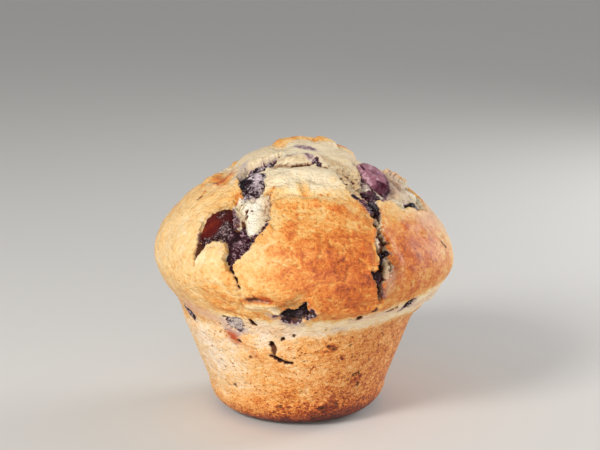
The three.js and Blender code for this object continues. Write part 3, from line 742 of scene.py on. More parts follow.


# what lies on the skin, by kind, with painted light and painted shade among them: amount, then the stops of the
# route
marks = {
    "crumbly": [
        (0.8, (-29, 76.4, 1.3), (-20, 77, 1.3), (-10, 77.3, 1)),
        (0.6, (20, 77.2, 1), (30, 76.4, 1.3)),
        (0.8, (33, 69.4, 1.3), (38, 71, 1.5), (44, 71.4, 1)),
        (0.6, (-34, 69.6, 1.2), (-28, 69.4, 1.2)),
    ],
    "dough": [
        (0.8, (-118, 71, 2.2), (-108, 73, 2.4), (-98, 74.6, 2.2), (-88, 75.4, 2)),
        (0.5, (-112, 68.4, 1.6), (-102, 69.6, 1.4)),
        (0.6, (84, 77, 2), (98, 76, 2.4), (112, 75, 2.4)),
        (0.6, (60, 79, 1.6), (84, 79, 2), (110, 78, 2.4)),
        (0.5, (76, 64, 1.6), (84, 62, 2.4), (94, 58, 2.6), (98, 52, 2.4)),
        (0.85, (-96, 77.2, 1.6), (-86, 76.4, 1.8), (-74, 76.4, 1.1), (-62, 76.4, 1.1), (-54, 74, 1),
         (-51, 71.8, 0.8)),
        (0.8, (-110, 79.4, 2), (-80, 78.8, 2), (-60, 77.6, 2), (-50, 77.4, 1)),
        (0.7, (-60, 79, 2), (-40, 79, 1.2), (-24, 78, 1.6)),
        (0.35, (-76, 70, 1), (-62, 70, 0.9), (-52, 70.6, 0.7)),
        (0.45, (-43, 54.6, 0.8), (-40, 56.6, 0.9), (-36, 58, 1.2), (-33.6, 57.4, 1), (-32.8, 55.6, 0.8)),
        (0.5, (-12, 41.6, 0.8), (-9.6, 41, 0.9)),
    ],
    "pink": [
        (0.7, (56, 70.6, 1.6), (66, 70, 3), (78, 70, 3.4), (90, 71, 3), (104, 71, 3), (118, 71, 3)),
        # painted highlight: the pale pinkish rim light along the right edge of the cap
        (0.6, (64, 61, 2), (74, 60.6, 3), (84, 58, 3.4), (92, 52, 3)),
        (0.35, (-46, 74.6, 1.4), (-24, 69.6, 1.4)),
        (0.5, (62, 69.4, 2.6), (70, 68, 3), (70, 65.6, 2)),
        (0.5, (31.8, 50, 1.4), (30.8, 47.6, 1.4), (29.8, 45.2, 1)),
        (0.8, (50, 38.4, 1.2), (60, 39, 1.2), (76, 40.2, 1.6)),
        (0.55, (-24, 34.6, 1.6), (-16, 33.4, 2), (-10, 33.2, 1.6), (-4, 33.6, 1)),
        (0.7, (20, 36.6, 1.2), (30, 37.6, 1.2), (42, 38.4, 1.2)),
        (0.8, (-62, 36.4, 1.6), (-50, 35.6, 2), (-40, 34.6, 2), (-33, 33.6, 1.6)),
        # painted highlight: the pale pinkish rim light along the right edge of the cap
        (0.5, (82, 61, 2.4), (88, 55, 2.6), (90, 49, 2.6), (84, 43.4, 2)),
        (0.4, (-17.6, 69, 1.2), (-17.4, 66, 1.4)),
    ],
    "shade": [
        (0.5, (60, 70, 2), (74, 69.6, 3), (88, 70.4, 2.4)),
        (0.6, (33, 54, 1.4), (33.8, 51.6, 1.8), (32, 49, 1.6)),
        (0.3, (32, 48, 2), (31, 45.6, 1.6)),
        (0.3, (30.6, 66, 1), (29.6, 62.6, 0.8)),
        (0.7, (-9, 42, 1), (-5.4, 43, 1.5), (-2.2, 44, 1.2)),
        (0.4, (-2, 45.4, 1.2), (0.4, 46.6, 0.8)),
        (0.3, (-15, 44.8, 0.9), (-10, 44.4, 1.1)),
        (0.6, (-21.4, 43.6, 0.5), (-18, 43.9, 0.7), (-14, 43.8, 0.5)),
        (0.4, (-24.6, 48, 0.25), (-24.1, 46.4, 0.3), (-23.6, 44.6, 0.3), (-23.6, 42, 0.35)),
    ],
    "lilac": [
        (1, (-17, 81.2, 0.6), (0, 81, 0.9), (14, 80.6, 1.1), (29, 80.2, 0.8)),
        (0.9, (7, 79.4, 0.7), (9, 78.8, 1), (12, 78.4, 1)),
        (0.7, (-18, 78.8, 0.8), (-8, 79.2, 0.9), (0, 79, 0.7)),
        (0.7, (-66, 76.4, 1), (-58, 75.4, 1.1), (-52, 73.4, 0.9)),
        (0.8, (-36, 71.6, 0.9), (-30, 70.2, 0.9), (-26.6, 70, 0.8)),
        (0.8, (-9, 36.6, 0.9), (-5, 35.8, 1.1), (-1, 36.2, 1)),
        (0.7, (-14, 39, 0.6), (-11.4, 38, 0.8)),
        (0.8, (-37, 35, 0.8), (-35, 32, 1), (-30, 30.8, 1), (-25, 32.4, 0.9)),
        (0.7, (-66, 35.4, 0.8), (-60, 34, 0.8), (-57, 32.6, 0.6)),
        (0.7, (46.6, 38.6, 0.9), (48, 40.4, 0.8)),
    ],
    "juice": [
        (0.4, (-14, 81, 0.6), (0, 80.9, 1), (14, 80.6, 1.2), (26, 80.3, 1)),
        (0.42, (5, 79.3, 0.6), (9, 78.8, 1), (13, 78.3, 0.9)),
        (0.4, (-17, 79, 0.4), (-9, 79.2, 0.6), (-2, 79.1, 0.5)),
        (0.8, (14, 77.7, 0.5), (17, 77.9, 0.6), (20, 77.2, 0.5), (22, 76.8, 0.2)),
        (0.95, (-50, 75.4, 0.7), (-46, 76.8, 0.8), (-40, 77.8, 1), (-33, 78.6, 1.1), (-30, 78.8, 0.8)),
        (0.5, (-36.6, 66, 0.9), (-33, 64.4, 1.2), (-31, 62.6, 1.2)),
        (0.9, (-30, 61.4, 1), (-28.8, 60.6, 1.2)),
        (0.95, (-15.3, 63.6, 0.5), (-16.4, 62.7, 0.7), (-17.6, 61.8, 0.4)),
        (0.8, (-18.6, 60.9, 0.3), (-21.5, 60.1, 0.5), (-23.4, 59.8, 0.5)),
        (0.55, (-25, 58.6, 1.6), (-22, 57.4, 1.2)),
        (0.9, (30.2, 70, 0.6), (31.4, 69.2, 0.5)),
        (0.62, (33.4, 68.2, 1), (34.4, 66.8, 1.1), (34, 65.2, 0.6)),
        (1, (38.6, 69.2, 1.1), (42.6, 70.2, 1.4), (45.6, 69.4, 1.1)),
        (0.4, (44, 72.4, 1.2), (47, 71, 1.1)),
        (0.5, (46.5, 68, 0.8), (52, 68.2, 0.8), (58, 69.4, 0.8)),
        (0.85, (68.6, 64.6, 1), (75, 64, 1.2)),
        (0.45, (32.2, 60.6, 0.8), (31.4, 56, 0.9), (30.6, 54.4, 0.9)),
        (0.75, (33, 56.6, 0.5), (34, 55.6, 0.5)),
        (0.75, (-11.4, 38.8, 0.8), (-10, 39.6, 0.8)),
        (0.8, (-8.6, 37.6, 0.6), (-5.6, 36.9, 0.7)),
        (0.7, (-3.6, 36.6, 0.5), (-1.2, 37.2, 0.6)),
        (0.85, (1.4, 38.4, 0.7), (3.6, 39.8, 1.1), (2.8, 41.6, 0.6)),
        (0.9, (-67.5, 34.2, 0.6), (-64, 33, 1), (-60.4, 31.9, 0.9)),
        (0.5, (41.6, 37.4, 0.6), (43, 38.6, 0.6)),
        (0.45, (28, 40.8, 0.25), (27.6, 39.4, 0.35)),
        (0.4, (42.4, 38.2, 0.8), (46, 41, 0.8)),
        (0.16, (15, 33.6, 1.6), (19, 33.4, 1.2)),
        (0.3, (135, 66, 1.6), (150, 69, 1.4)),
        (0.4, (-160, 60, 1.2), (-157, 52, 1.2)),
        (0.3, (-132, 41, 1.6), (-124, 40, 1.4)),
        (0.9, (53, 74.3, 0.4), (51, 73, 0.4), (49.4, 71.4, 0.5), (49, 69.6, 0.6)),
        (0.7, (27, 48, 0.9), (27.4, 46, 0.7), (28.4, 44, 0.5)),
    ],
    "brown": [
        (0.13, (-119, 79, 0.9), (-138, 80.7, 1.2), (-156, 81.2, 1.2), (174, 81.9, 1.3), (144, 81.8, 1.3),
         (118, 81.8, 1.2)),
        (0.22, (118, 81.6, 1.2), (122, 80.4, 1.5), (130, 78.8, 1.5), (128, 77, 1.2)),
        (0.3, (27.6, 47, 1.1), (28.6, 44.4, 0.9), (29, 42.6, 0.5)),
        (0.5, (-68, 70.6, 0.35), (-62.4, 70.7, 0.3)),
        (0.22, (-21.4, 69.1, 1), (-18.6, 70.2, 1.1), (-17, 71.7, 0.7)),
        (0.5, (-17, 71.4, 0.4), (-16.6, 72.1, 0.3)),
        (0.2, (-39.6, 68.4, 1.2), (-37.6, 69.8, 1.1)),
        (0.7, (-67.2, 67, 0.5)),
        (0.4, (-68.8, 68, 0.4), (-69.4, 68.6, 0.3)),
        (0.28, (0, 73.6, 1.6), (2, 72, 1.6), (3, 70.8, 1.2)),
        (0.35, (1.2, 72.6, 0.5), (2.6, 70.9, 0.5)),
        (0.5, (11.6, 70.8, 0.4)),
        (0.5, (16, 70.8, 0.45)),
        (0.14, (-8, 68.2, 1.5), (2, 68.9, 1.9), (12, 68.4, 1.6), (20, 67, 1.2)),
        (0.3, (-42, 79.4, 0.6), (-31, 79.8, 0.6), (-19, 80, 0.5)),
        (0.25, (28, 78.6, 1.2), (40, 77, 1.4), (46, 75.6, 1.2)),
        (0.55, (-2, 66.2, 0.4)),
        (0.45, (4, 66.2, 0.4)),
        (0.35, (14.5, 55.2, 0.5), (12.6, 54.6, 0.3)),
        (0.45, (70, 53, 0.4), (69.4, 54.4, 0.3)),
        (0.36, (-23, 43.4, 0.6), (-18, 44, 1.1), (-12.2, 43.7, 0.7)),
        (0.3, (-45.8, 57.6, 1.1), (-45.2, 54.6, 0.8), (-44.8, 52, 0.6)),
        (0.3, (15.6, 27.8, 0.9), (18, 26.9, 1)),
        (0.3, (12, 26.4, 0.6), (14, 25.8, 0.5)),
        (0.4, (22.4, 24, 0.5), (23.4, 23.2, 0.4)),
        (0.45, (7, 20, 0.5), (8.6, 21, 0.4)),
        (0.4, (-11, 7.4, 0.7), (-9.6, 7, 0.6)),
        (0.3, (-6, 8, 0.6)),
        (0.08, (-22, 34, 1.4), (-15, 33, 1.8), (-9, 33, 1.4)),
        (0.5, (15.4, 6.8, 0.8), (17, 6.4, 0.5)),
        (0.5, (24.6, 7.6, 0.7)),
        (0.3, (33, 15.4, 0.8), (37, 15.6, 1.1)),
    ],
    "tan": [
        (0.6, (-24, 78, 0.8), (-14, 78.2, 0.9), (-4, 78.2, 0.9), (6, 78.3, 0.7)),
        (0.7, (29.4, 48.6, 0.8), (29.6, 46, 0.9), (29.6, 44, 0.6)),
        (0.9, (-16.6, 69.4, 1.6), (-16, 67, 2.2), (-16, 64.4, 1.8), (-18.4, 62.4, 0.8)),
        (0.6, (-33, 67.4, 1.2), (-29.6, 65.4, 1.2), (-28, 62.6, 1)),
        (0.7, (-21, 69.8, 1.2), (-18.6, 70.4, 1.2)),
        (0.9, (-29.6, 65, 0.9), (-28, 63.8, 1), (-27, 62.6, 0.8)),
        (0.6, (31, 59.6, 1.2), (31.4, 57.6, 1.6)),
        (0.8, (36.6, 64.8, 1), (35.2, 62.6, 1)),
        (0.5, (31, 78.8, 1.6), (36, 77, 2), (38, 75, 1.6)),
        (0.6, (52, 68.2, 1), (62, 68.6, 2), (72, 68, 2.2), (78, 70, 1.8)),
        (0.9, (34, 75, 2.2), (36, 73, 2.6), (33, 70.6, 1.6)),
        (1, (32, 54.4, 1.2), (32.4, 52, 1.6), (30.6, 49.6, 1.2)),
        (0.4, (14, 76.6, 0.8), (22, 76.4, 1), (30, 76, 1)),
        (0.4, (-26, 77, 1), (-12, 77.2, 0.8)),
        (0.5, (60, 66.4, 1.6), (70, 65.4, 2), (78, 66, 2)),
    ],
    # painted shade in small holes, slits and pores, each also sunk a little
    "hollowShade": [
        (0.5, (-29.6, 64.4, 0.6), (-28, 63.8, 0.7), (-27, 62.9, 0.5)),
        (0.6, (-28, 66.6, 0.5), (-28.2, 65.8, 0.4)),
        (0.7, (-28.3, 61.3, 0.5)),
        (0.3, (-18.4, 67.8, 0.4), (-17.8, 66.4, 0.4)),
        (0.3, (-27, 76.6, 0.9), (-19.5, 76.9, 0.9), (-11, 77, 0.8)),
        (0.4, (-15, 78.4, 0.3), (-10, 78.6, 0.3)),
        (0.65, (-7, 76.8, 0.7), (0, 77.1, 1), (8, 77.4, 0.9)),
        (0.85, (35.4, 74.5, 0.4), (36, 73.8, 0.45)),
        (0.8, (36.6, 72.8, 0.45)),
        (0.7, (31, 72.6, 0.35)),
        (0.7, (34.8, 71, 0.4), (35.8, 70.4, 0.3)),
        (0.6, (30, 73.8, 0.4)),
        (0.9, (33.8, 62, 0.5), (33, 61, 0.5)),
        (0.8, (29, 56.4, 0.3), (29.8, 54.8, 0.4), (28.8, 53.2, 0.45)),
        (0.6, (34.6, 59.8, 0.3), (34.8, 58, 0.3)),
        (0.5, (31.4, 57, 0.5), (32, 56.4, 0.5)),
        (0.6, (26.2, 48.4, 0.5), (26.8, 46.4, 0.5), (28, 44.2, 0.35)),
        (0.9, (67, 64.3, 0.6), (71, 64, 0.7)),
        (0.7, (27.6, 40.8, 0.3), (27, 39.4, 0.4)),
        (0.7, (35, 38.2, 0.35), (37.6, 38.5, 0.45), (39, 38.9, 0.3)),
        (1, (22.2, 37, 0.6), (22.9, 37.5, 0.6)),
        (0.8, (19, 37, 0.3)),
        (0.75, (-22.6, 36, 0.4), (-21.4, 35, 0.55), (-19.8, 34.6, 0.4)),
        (0.7, (-28.9, 28.6, 0.5), (-27.8, 28.2, 0.25)),
        (0.6, (-2.6, 32, 0.25), (-2.2, 31.4, 0.2)),
        (0.6, (0.6, 33, 0.2)),
        (0.75, (-6.8, 30.6, 0.25), (-7.6, 29.9, 0.35)),
        (0.8, (-12, 28.7, 0.55), (-11.6, 28, 0.5)),
        (0.45, (-24, 23.4, 0.5)),
        (0.45, (-40.6, 12.5, 0.7)),
        (0.45, (13, 3.6, 0.7)),
        (0.45, (-10.6, 7.4, 0.6)),
        (0.45, (24.6, 7.6, 0.6)),
        (0.45, (17.8, 26.8, 0.5)),
        (0.5, (15.2, 27.6, 0.4)),
        (0.45, (23, 23.8, 0.4)),
        (0.8, (69.6, 54.4, 0.3), (70.4, 53, 0.4)),
        (0.8, (-67.4, 67.4, 0.35), (-67.8, 66.6, 0.25)),
        (0.8, (33.8, 64.8, 0.5), (34.8, 63.4, 0.5)),
        (0.6, (-16.8, 60.9, 0.2)),
        (0.5, (-20.8, 43.6, 0.3), (-18.4, 43.9, 0.5), (-16, 43.9, 0.3)),
        (0.8, (15.6, 6.7, 0.5), (17, 6.4, 0.3)),
        (0.6, (31.6, 15.6, 0.3), (33, 16.8, 0.35), (36, 17, 0.3)),
    ],
    # painted light: the lit tops and slopes of crumb ridges and lumps
    "litCrumb": [
        (0.3, (-25.2, 70, 1.5), (-24.4, 66.4, 1.9), (-23.4, 63.8, 2), (-22.2, 62, 1.7), (-20.4, 61, 1)),
        (0.5, (-31, 67.4, 1.1), (-29, 66.4, 1)),
        (0.4, (-29, 60.8, 0.9), (-27, 61.6, 0.8)),
        (0.5, (55, 65.8, 0.8), (48, 68, 0.7)),
        (0.4, (44, 71.6, 0.8), (47, 70.4, 0.8), (51, 68.8, 0.7)),
        (0.4, (-35, 69.4, 1), (-31, 68.2, 1.1), (-28.6, 66.4, 1)),
    ],
    "red": [
        (0.6, (-21.4, 43.6, 0.6), (-18, 43.9, 0.8), (-13.6, 43.8, 0.5)),
        (1, (-33.8, 30.4, 1.1), (-31.4, 29.4, 1.5), (-29.8, 28.4, 1.1)),
        (0.25, (-34, 29, 0.5), (-27, 27.6, 0.6), (-22, 26.8, 0.4)),
        (0.35, (-22.4, 25, 0.9), (-20.6, 24.2, 0.8)),
    ],
    "pale": [
        # painted light along the lit edge of the plate beside the crack below the tear
        (0.3, (-22.5, 47.4, 0.5), (-22.2, 45, 0.5), (-22.2, 42.6, 0.5)),
        (0.65, (-21, 41.8, 0.9), (-16, 42.4, 1), (-11.6, 41.6, 1.2), (-9.4, 40.6, 0.9)),
        (0.35, (-22, 40.4, 1.2), (-16, 40.4, 1.2), (-12, 39.6, 1)),
        (0.3, (3.4, 46, 0.9), (3.6, 43.6, 1), (5, 41.4, 1)),
        (0.3, (-43.4, 53, 1.6), (-39, 54, 1.8), (-34, 54.6, 1.8), (-32.6, 53, 1.4)),
        (0.4, (28, 58, 0.5), (28, 55, 0.5), (26.4, 52.4, 0.5), (23.6, 52.4, 0.4)),
        (0.3, (-36, 47.6, 0.7), (-31, 47.4, 0.7)),
        (0.3, (37.2, 64.8, 0.7), (42, 67.6, 0.7), (49, 67, 0.9), (54, 64.6, 0.9), (61, 63.8, 0.9),
         (70, 61.8, 0.9)),
        (0.22, (40, 63, 1.6), (48, 64.6, 2), (56, 62.6, 1.8)),
        (0.3, (-14, 30.6, 2), (-8, 27.6, 1.4), (-20, 29, 1.6)),
        (0.22, (0, 20.6, 1.4), (6, 10.6, 2)),
    ],
}


# these fade out softly; the others have a sharper edge
softMarks = ("red", "shade", "dough", "tan", "litCrumb", "lilac", "pink", "crumbly")


# darker and paler patches of the crust: bearing, height, size, amount. The paler patches at (82, 54) and (92,
# 52), along the right edge of the cap, are painted rim highlight
browning = [
    (8, 54, 13, 0.17), (19, 46, 10, 0.23), (60, 54, 7, 0.08), (50, 56, 6, 0.06), (2, 67.5, 5, -0.1),
    (12, 65, 8, -0.02), (-2, 61, 6, 0.03), (-17, 52, 6, -0.09), (-36, 48, 8, -0.08), (-8, 8, 9, 0.04),
    (40, 20, 9, 0.02), (-40, 20, 12, -0.1), (-20, 46, 6, -0.08), (-10, 47, 5, 0.03), (-21, 57, 4, -0.14),
    (-13, 65, 3, -0.14), (44, 55, 10, 0.22), (58, 44, 9, -0.08), (42, 44, 6, 0.04), (82, 54, 10, -0.14),
    (30, 41.5, 6, -0.08), (46, 65, 5, -0.16), (75, 60, 8, -0.02), (-67, 72.2, 3.2, 0.42), (-66, 71.8, 1.4, 0.2),
    (-70, 73.4, 2.2, 0.3), (-78, 72.4, 2.2, 0.2), (-87, 72.2, 2.2, 0.2), (-95, 72.8, 2, 0.16),
    (-39, 69.4, 2, 0.16), (-104, 73, 8, -0.24), (-88, 52, 16, -0.1), (104, 75, 8, -0.22), (110, 70, 9, -0.2),
    (24, 4, 9, 0.14), (-6, 3, 8, 0.1), (-16, 20, 6, 0.05), (-52, 24, 10, -0.13), (-60, 58, 16, -0.2),
    (-44, 48, 7, -0.06), (-32, 42, 8, 0.1), (-52, 68, 8, -0.06), (0, 74.5, 7, -0.3), (18, 73, 8, -0.3),
    (-22, 75, 8, -0.4), (34, 75, 8, -0.3), (70, 69, 7, -0.4), (0, 79, 9, -0.36), (92, 52, 9, -0.2),
    (120, 58, 16, 0.1), (170, 60, 18, 0.12), (-150, 50, 14, 0.08), (-175, 72, 10, -0.15), (150, 46, 10, 0.12),
    (-70, 45, 10, -0.03), (180, 80, 8, 0.05)
]


# heights of the pale band under the rim, lowest and highest, by bearing
paleBand = {
    "bearing": [-180, -140, -100, -60, -47, -34, -22, -12, -1, 11, 23, 33, 42, 52, 62, 100, 140, 180],
    "low": [31.5, 32.5, 31, 32, 32.8, 32, 31, 30.8, 30.5, 31.4, 32.6, 33.2, 34, 35, 35.4, 33, 32, 31.5],
    "high": [37.6, 38.4, 37.4, 37.6, 37.6, 37.2, 36.7, 36.5, 36.2, 36.6, 37.6, 38.8, 40.2, 41.6, 42, 39.4, 38,
        37.6],
}


# open pores of the base, scattered: how many, and their size; dark is the painted shade in them
poreLook = {"count": 420, "size": (0.22, 0.62), "heights": (3, 34), "depth": 0.35, "dark": 0.36, "seed": 12}


def meshPoints(piece):
    flat = np.empty(len(piece.data.vertices) * 3)
    piece.data.vertices.foreach_get("co", flat)
    return flat.reshape(-1, 3)


# puts the vertices at places on the muffin, in millimetres
def movePoints(piece, points):
    placed = easeInside(points + recentre) * mm
    piece.data.vertices.foreach_set("co", np.ascontiguousarray(placed, float).ravel())
    piece.data.update()


def keepFields(piece, fields):
    for name, values in fields.items():
        kept = piece.data.attributes.new(name, "FLOAT", "POINT")
        kept.data.foreach_set("value", np.ascontiguousarray(np.clip(values, 0, 1), float))


# bearing and distance along the skin of each vertex: close together on the cap's front, wide on the base
def spreadBall(ball):
    weights = {"stand": 0.3, "base": 0.85, "cap": 0.35}
    table = np.linspace(0, outlineAlong[-1], 2000)
    onCap = smooth(28, 36, heightAlong(table))
    weight = np.where(table < shape["standRadius"], weights["stand"], weights["base"] + weights["cap"] * onCap)
    share = np.concatenate([[0], np.cumsum((weight[1:] + weight[:-1]) / 2)])
    along = np.interp(np.arccos(np.clip(-ball[:, 2], -1, 1)) / math.pi, share / share[-1], table)
    angle = np.arctan2(ball[:, 0], -ball[:, 1])
    return np.degrees(angle - bodyLook["frontShare"] * np.sin(angle)), along


def makeBall():
    bpy.ops.object.select_all(action="DESELECT")
    bpy.ops.mesh.primitive_cube_add(size=2, location=(0, 0, 0))
    piece = bpy.context.object
    piece.name = "muffin"
    bpy.ops.object.mode_set(mode="EDIT")
    bpy.ops.mesh.select_all(action="SELECT")
    for split in range(bodyLook["splits"]):
        bpy.ops.mesh.subdivide(number_cuts=1)
    bpy.ops.object.mode_set(mode="OBJECT")
    return piece, unit(meshPoints(piece))


# the plain skin and the finished surface, for what is laid on it afterwards
skinTable = {}


def makeBody():
    piece, ball = makeBall()
    bearing, along = spreadBall(ball)
    flat = along < shape["standRadius"]
    height = np.where(flat, 0, heightAlong(along))
    radius = np.where(flat, along, skinRadius(height) + unevenness(np.radians(bearing), height))
    skin = placeOnSkin(bearing, height, radius)
    right, up, out = skinDirections(bearing, np.clip(height, 0.5, shape["height"] - 0.5))
    out[flat] = (0, 0, -1)

    broad, rough, fine = (grain(skin, *noises) for noises in bodyLook["noises"].values())
    edgeNoise = bodyLook["ragged"] * (tearLook["roughShare"] * rough + tearLook["fineShare"] * fine)
    onCap = smooth(*bodyLook["capOver"], height)
    lift = bodyLook["swell"] * broad * onCap
    depth, torn, lip, hollowShade, stood = (np.zeros(len(skin)) for kind in range(5))
    lumpy = np.ones(len(skin))

    for tear in tears.values():
        inside = insideTear(bearing, height, tear) + tear.get("ragged", 1) * edgeNoise
        floor = tear["depth"] * (1 + tearLook["floor"] * broad)
        depth = np.maximum(depth, floor * smooth(tearLook["wallFrom"], tear["wall"], inside))
        crumbOver = [tear.get("rind", 0) + step for step in tearLook["crumbOver"]]
        torn = np.maximum(torn, smooth(*crumbOver, inside))
        lumpy = np.where(inside > tearLook["lumpsFrom"], tear.get("lumps", 1), lumpy)
        lip = np.maximum(lip, tear["lip"] * bump(inside, *tearLook["lipAt"]))
        hollowShade = np.maximum(hollowShade, tear.get("dark", 0) * smooth(*tearLook["darkOver"], inside))

    for crack in cracks.values():
        inside, share = insideStroke(skin, crack["route"])
        inside = inside + crackLook["ragged"] * edgeNoise
        across = np.clip(share + crackLook["raggedFloor"] * fine, 0, 1)
        deep = min(crack["depth"], crackLook["leastDepth"] + crackLook["depthByWidth"] * widest(crack["route"]))
        cut = smooth(*crackLook["cutOver"], inside)
        wallDepth = crackLook["wallDepth"]
        depth = np.maximum(depth, deep * cut * (wallDepth + (1 - wallDepth) * np.sqrt(across)))
        torn = np.maximum(torn, cut * onCap)
        hollowShade = np.maximum(hollowShade, crack["dark"] * smooth(*crackLook["darkOver"], inside))
        lip = np.maximum(lip, crackLook["lip"] * bump(inside, *crackLook["lipAt"]) * onCap)

    for ridge in ridges:
        rise = max(stop[3] for stop in ridge)
        share = insideStroke(skin, [stop[:3] for stop in ridge])[1]
        standing = smooth(*ridgeLook["over"], np.clip(share + ridgeLook["ragged"] * rough, -1, 1))
        depth = np.where(torn > 0.2, np.maximum(ridgeLook["underSkin"], depth - rise * standing), depth)
        hollowShade = hollowShade * (1 - ridgeLook["clears"] * smooth(*ridgeLook["clearsOver"], standing))
        stood = np.maximum(stood, standing)

    for half, rise, *route in folds:
        share = insideStroke(skin, [(b, h, 1.5 * half) for b, h in route])[1]
        lift += rise * smooth(0, 0.9, np.clip(share + 0.15 * rough, 0, 1))

    for plate in plates.values():
        inside = insideOutline(skin[:, 0], skin[:, 1], plate["edge"])
        onTop = (height > shape["capHeight"]) & (inside > -3)
        lift += np.where(onTop, plate["lift"] * smooth(-0.2, plate.get("ease", 0.5), inside + 0.6 * edgeNoise), 0)

    # what lies on the skin, with painted light and painted shade
    fields = {kind: np.zeros(len(skin)) for kind in marks}
    fields["hollowShade"] = hollowShade
    for kind, routes in marks.items():
        for amount, *route in routes:
            wide = widest(route)
            edge = wide if kind in softMarks else 0.25 + 0.25 * min(2, wide)
            cover = amount * smooth(-edge, edge, insideStroke(skin, route)[0] + 0.7 * edgeNoise)
            fields[kind] = np.maximum(fields[kind], cover)
            if kind == "hollowShade":
                sunk = np.where(cover > 0.02, depth + bodyLook["markDepth"] * cover, 0)
                depth = np.maximum(depth, sunk)
    hollowShade = fields["hollowShade"]

    crown = smooth(*crownLook["over"], height + 1.4 * broad + 0.5 * rough)
    crown *= smooth(*crownLook["backOver"], skin[:, 1] - 0.1 * np.abs(skin[:, 0]) + 0.8 * rough)
    crown *= smooth(*crownLook["leftOver"], skin[:, 0] + rough)
    coarse = smooth(-0.8, 1.2, insideStroke(skin, crownLook["roughRoute"])[0] + rough)
    coarse = np.maximum(coarse, fields["crumbly"])
    crown = np.maximum(crown, coarse)

    # lumps, holes and grain of the crumb, with painted shade in its low places and holes
    look = crumbLook
    loose = np.flatnonzero(np.maximum(torn, 0.75 * crown) > 0.02)
    lumps = np.zeros(len(skin))
    nearest = cells(skin[loose] + 0.8 * rough[loose, None], look["lumpSize"], 5)
    lumps[loose] = 0.75 - 1.5 * nearest ** 1.5 + 0.8 * rough[loose]
    holes = np.zeros(len(skin))
    nearest = cells(skin[loose], look["holeSize"], 9)
    holes[loose] = smooth(0.3, 0.16, nearest + 0.08 * fine[loose])
    relief = look["lumpHeight"] * lumps + look["grain"] * fine - look["holeDepth"] * holes * lumpy
    onDough = np.maximum(look["lumpOnCrown"] * crown, look["lumpOnRough"] * coarse)
    lift += np.maximum(torn * lumpy * (1 - 0.85 * stood), onDough) * relief
    gaps = look["gapShade"] * smooth(-0.2, -1.0, relief) + look["holeShade"] * holes * lumpy
    hollowShade = np.maximum(hollowShade, torn * lumpy * gaps)
    hollowShade = np.maximum(hollowShade, look["gapShade"] * coarse * smooth(-0.1, -0.9, relief))

    # open pores of the base, with painted shade in them
    chance = random.Random(poreLook["seed"])
    smallest, largest = poreLook["size"]
    for pore in range(poreLook["count"]):
        b = chance.uniform(-180, 180)
        h = chance.uniform(*poreLook["heights"])
        size = smallest + (largest - smallest) * chance.random() ** 3
        centre = onSkin(b, h)
        near = np.flatnonzero(((skin - centre) ** 2).sum(1) < 4 * size * size)
        away = (skin[near] - centre) * (1, 1, chance.uniform(0.8, 2))
        pit = smooth(1.2, 0.5, np.linalg.norm(away, axis=1) / size + 0.3 * fine[near])
        hollowShade[near] = np.maximum(hollowShade[near], poreLook["dark"] * pit)
        depth[near] = np.maximum(depth[near], poreLook["depth"] * pit)

    # stain of the juice round each berry
    for berry in berries.values():
        centre, axes = berryFrame(berry)
        half = np.array(berry["half"])
        reach = np.linalg.norm((skin - centre) @ axes.T / half, axis=1)
        gap = np.clip((reach - 1) * half.mean() + 0.9 * rough, 0, None)
        soaked = bodyLook["juiceAmount"] * bump(gap, 0, berry["stain"]) * (0.04 + 0.96 * torn)
        fields["juice"] = np.maximum(fields["juice"], soaked)

    onBase = between(*bodyLook["baseOver"], height)
    lift += (1 - torn) * fine * (bodyLook["crustGrain"] * onCap + bodyLook["baseGrain"] * onBase)
    moved = skin + out * (lift + lip * (1 - torn) - depth)[:, None]
    moved[:, 2] = np.where(flat, 0, np.maximum(moved[:, 2], 0))
    movePoints(piece, moved)
    skinTable.update(skin=skin, surface=moved)

    bake = browningField(skin, bearing, height, rough) - 0.12 * lip
    keepFields(piece, {
        "crumb": torn,
        "dough": np.maximum(0.8 * crown, fields["dough"]),
        # tone of the crumb: painted light on lit ridges and standing crumb, darker where tan
        "tone": 0.6 + 0.5 * fields["litCrumb"] + 0.2 * stood - 0.5 * fields["tan"],
        "speck": np.maximum(coarse, 0.35 * torn * (1 - stood)),
        "bake": bake + fields["brown"] - 0.45 * fields["pale"],
        "hollowShade": hollowShade,
        "base": 1 - smooth(30, 36, height),
        **{kind: fields[kind] for kind in ("shade", "lilac", "pink", "juice", "red")},
    })

    bpy.ops.object.select_all(action="DESELECT")
    piece.select_set(True)
    bpy.context.view_layer.objects.active = piece
    bpy.ops.object.shade_smooth_by_angle(angle=math.radians(bodyLook["sharpEdge"]))
    return piece


# how brown each region is: 0 pale, 0.5 golden, 1 brown
bakeLook = {
    "cap": 0.47, "capToTheRight": 0.08,
    "base": 0.36, "baseToTheRight": 0.17,
    "foot": [(0.16, 11), (0.36, 4.2), (0.36, 1.8)],     # added towards the foot: amount and height
    "band": 0.02, "bandOnLeft": 0.46,                   # the pale band under the rim
    "leftOver": (-120, -80, -48, -34),
    "softLow": (-1.5, 1.5), "softHigh": (-0.8, 1.4),    # how softly the band's two edges fade
    "ragged": 1.2,
}


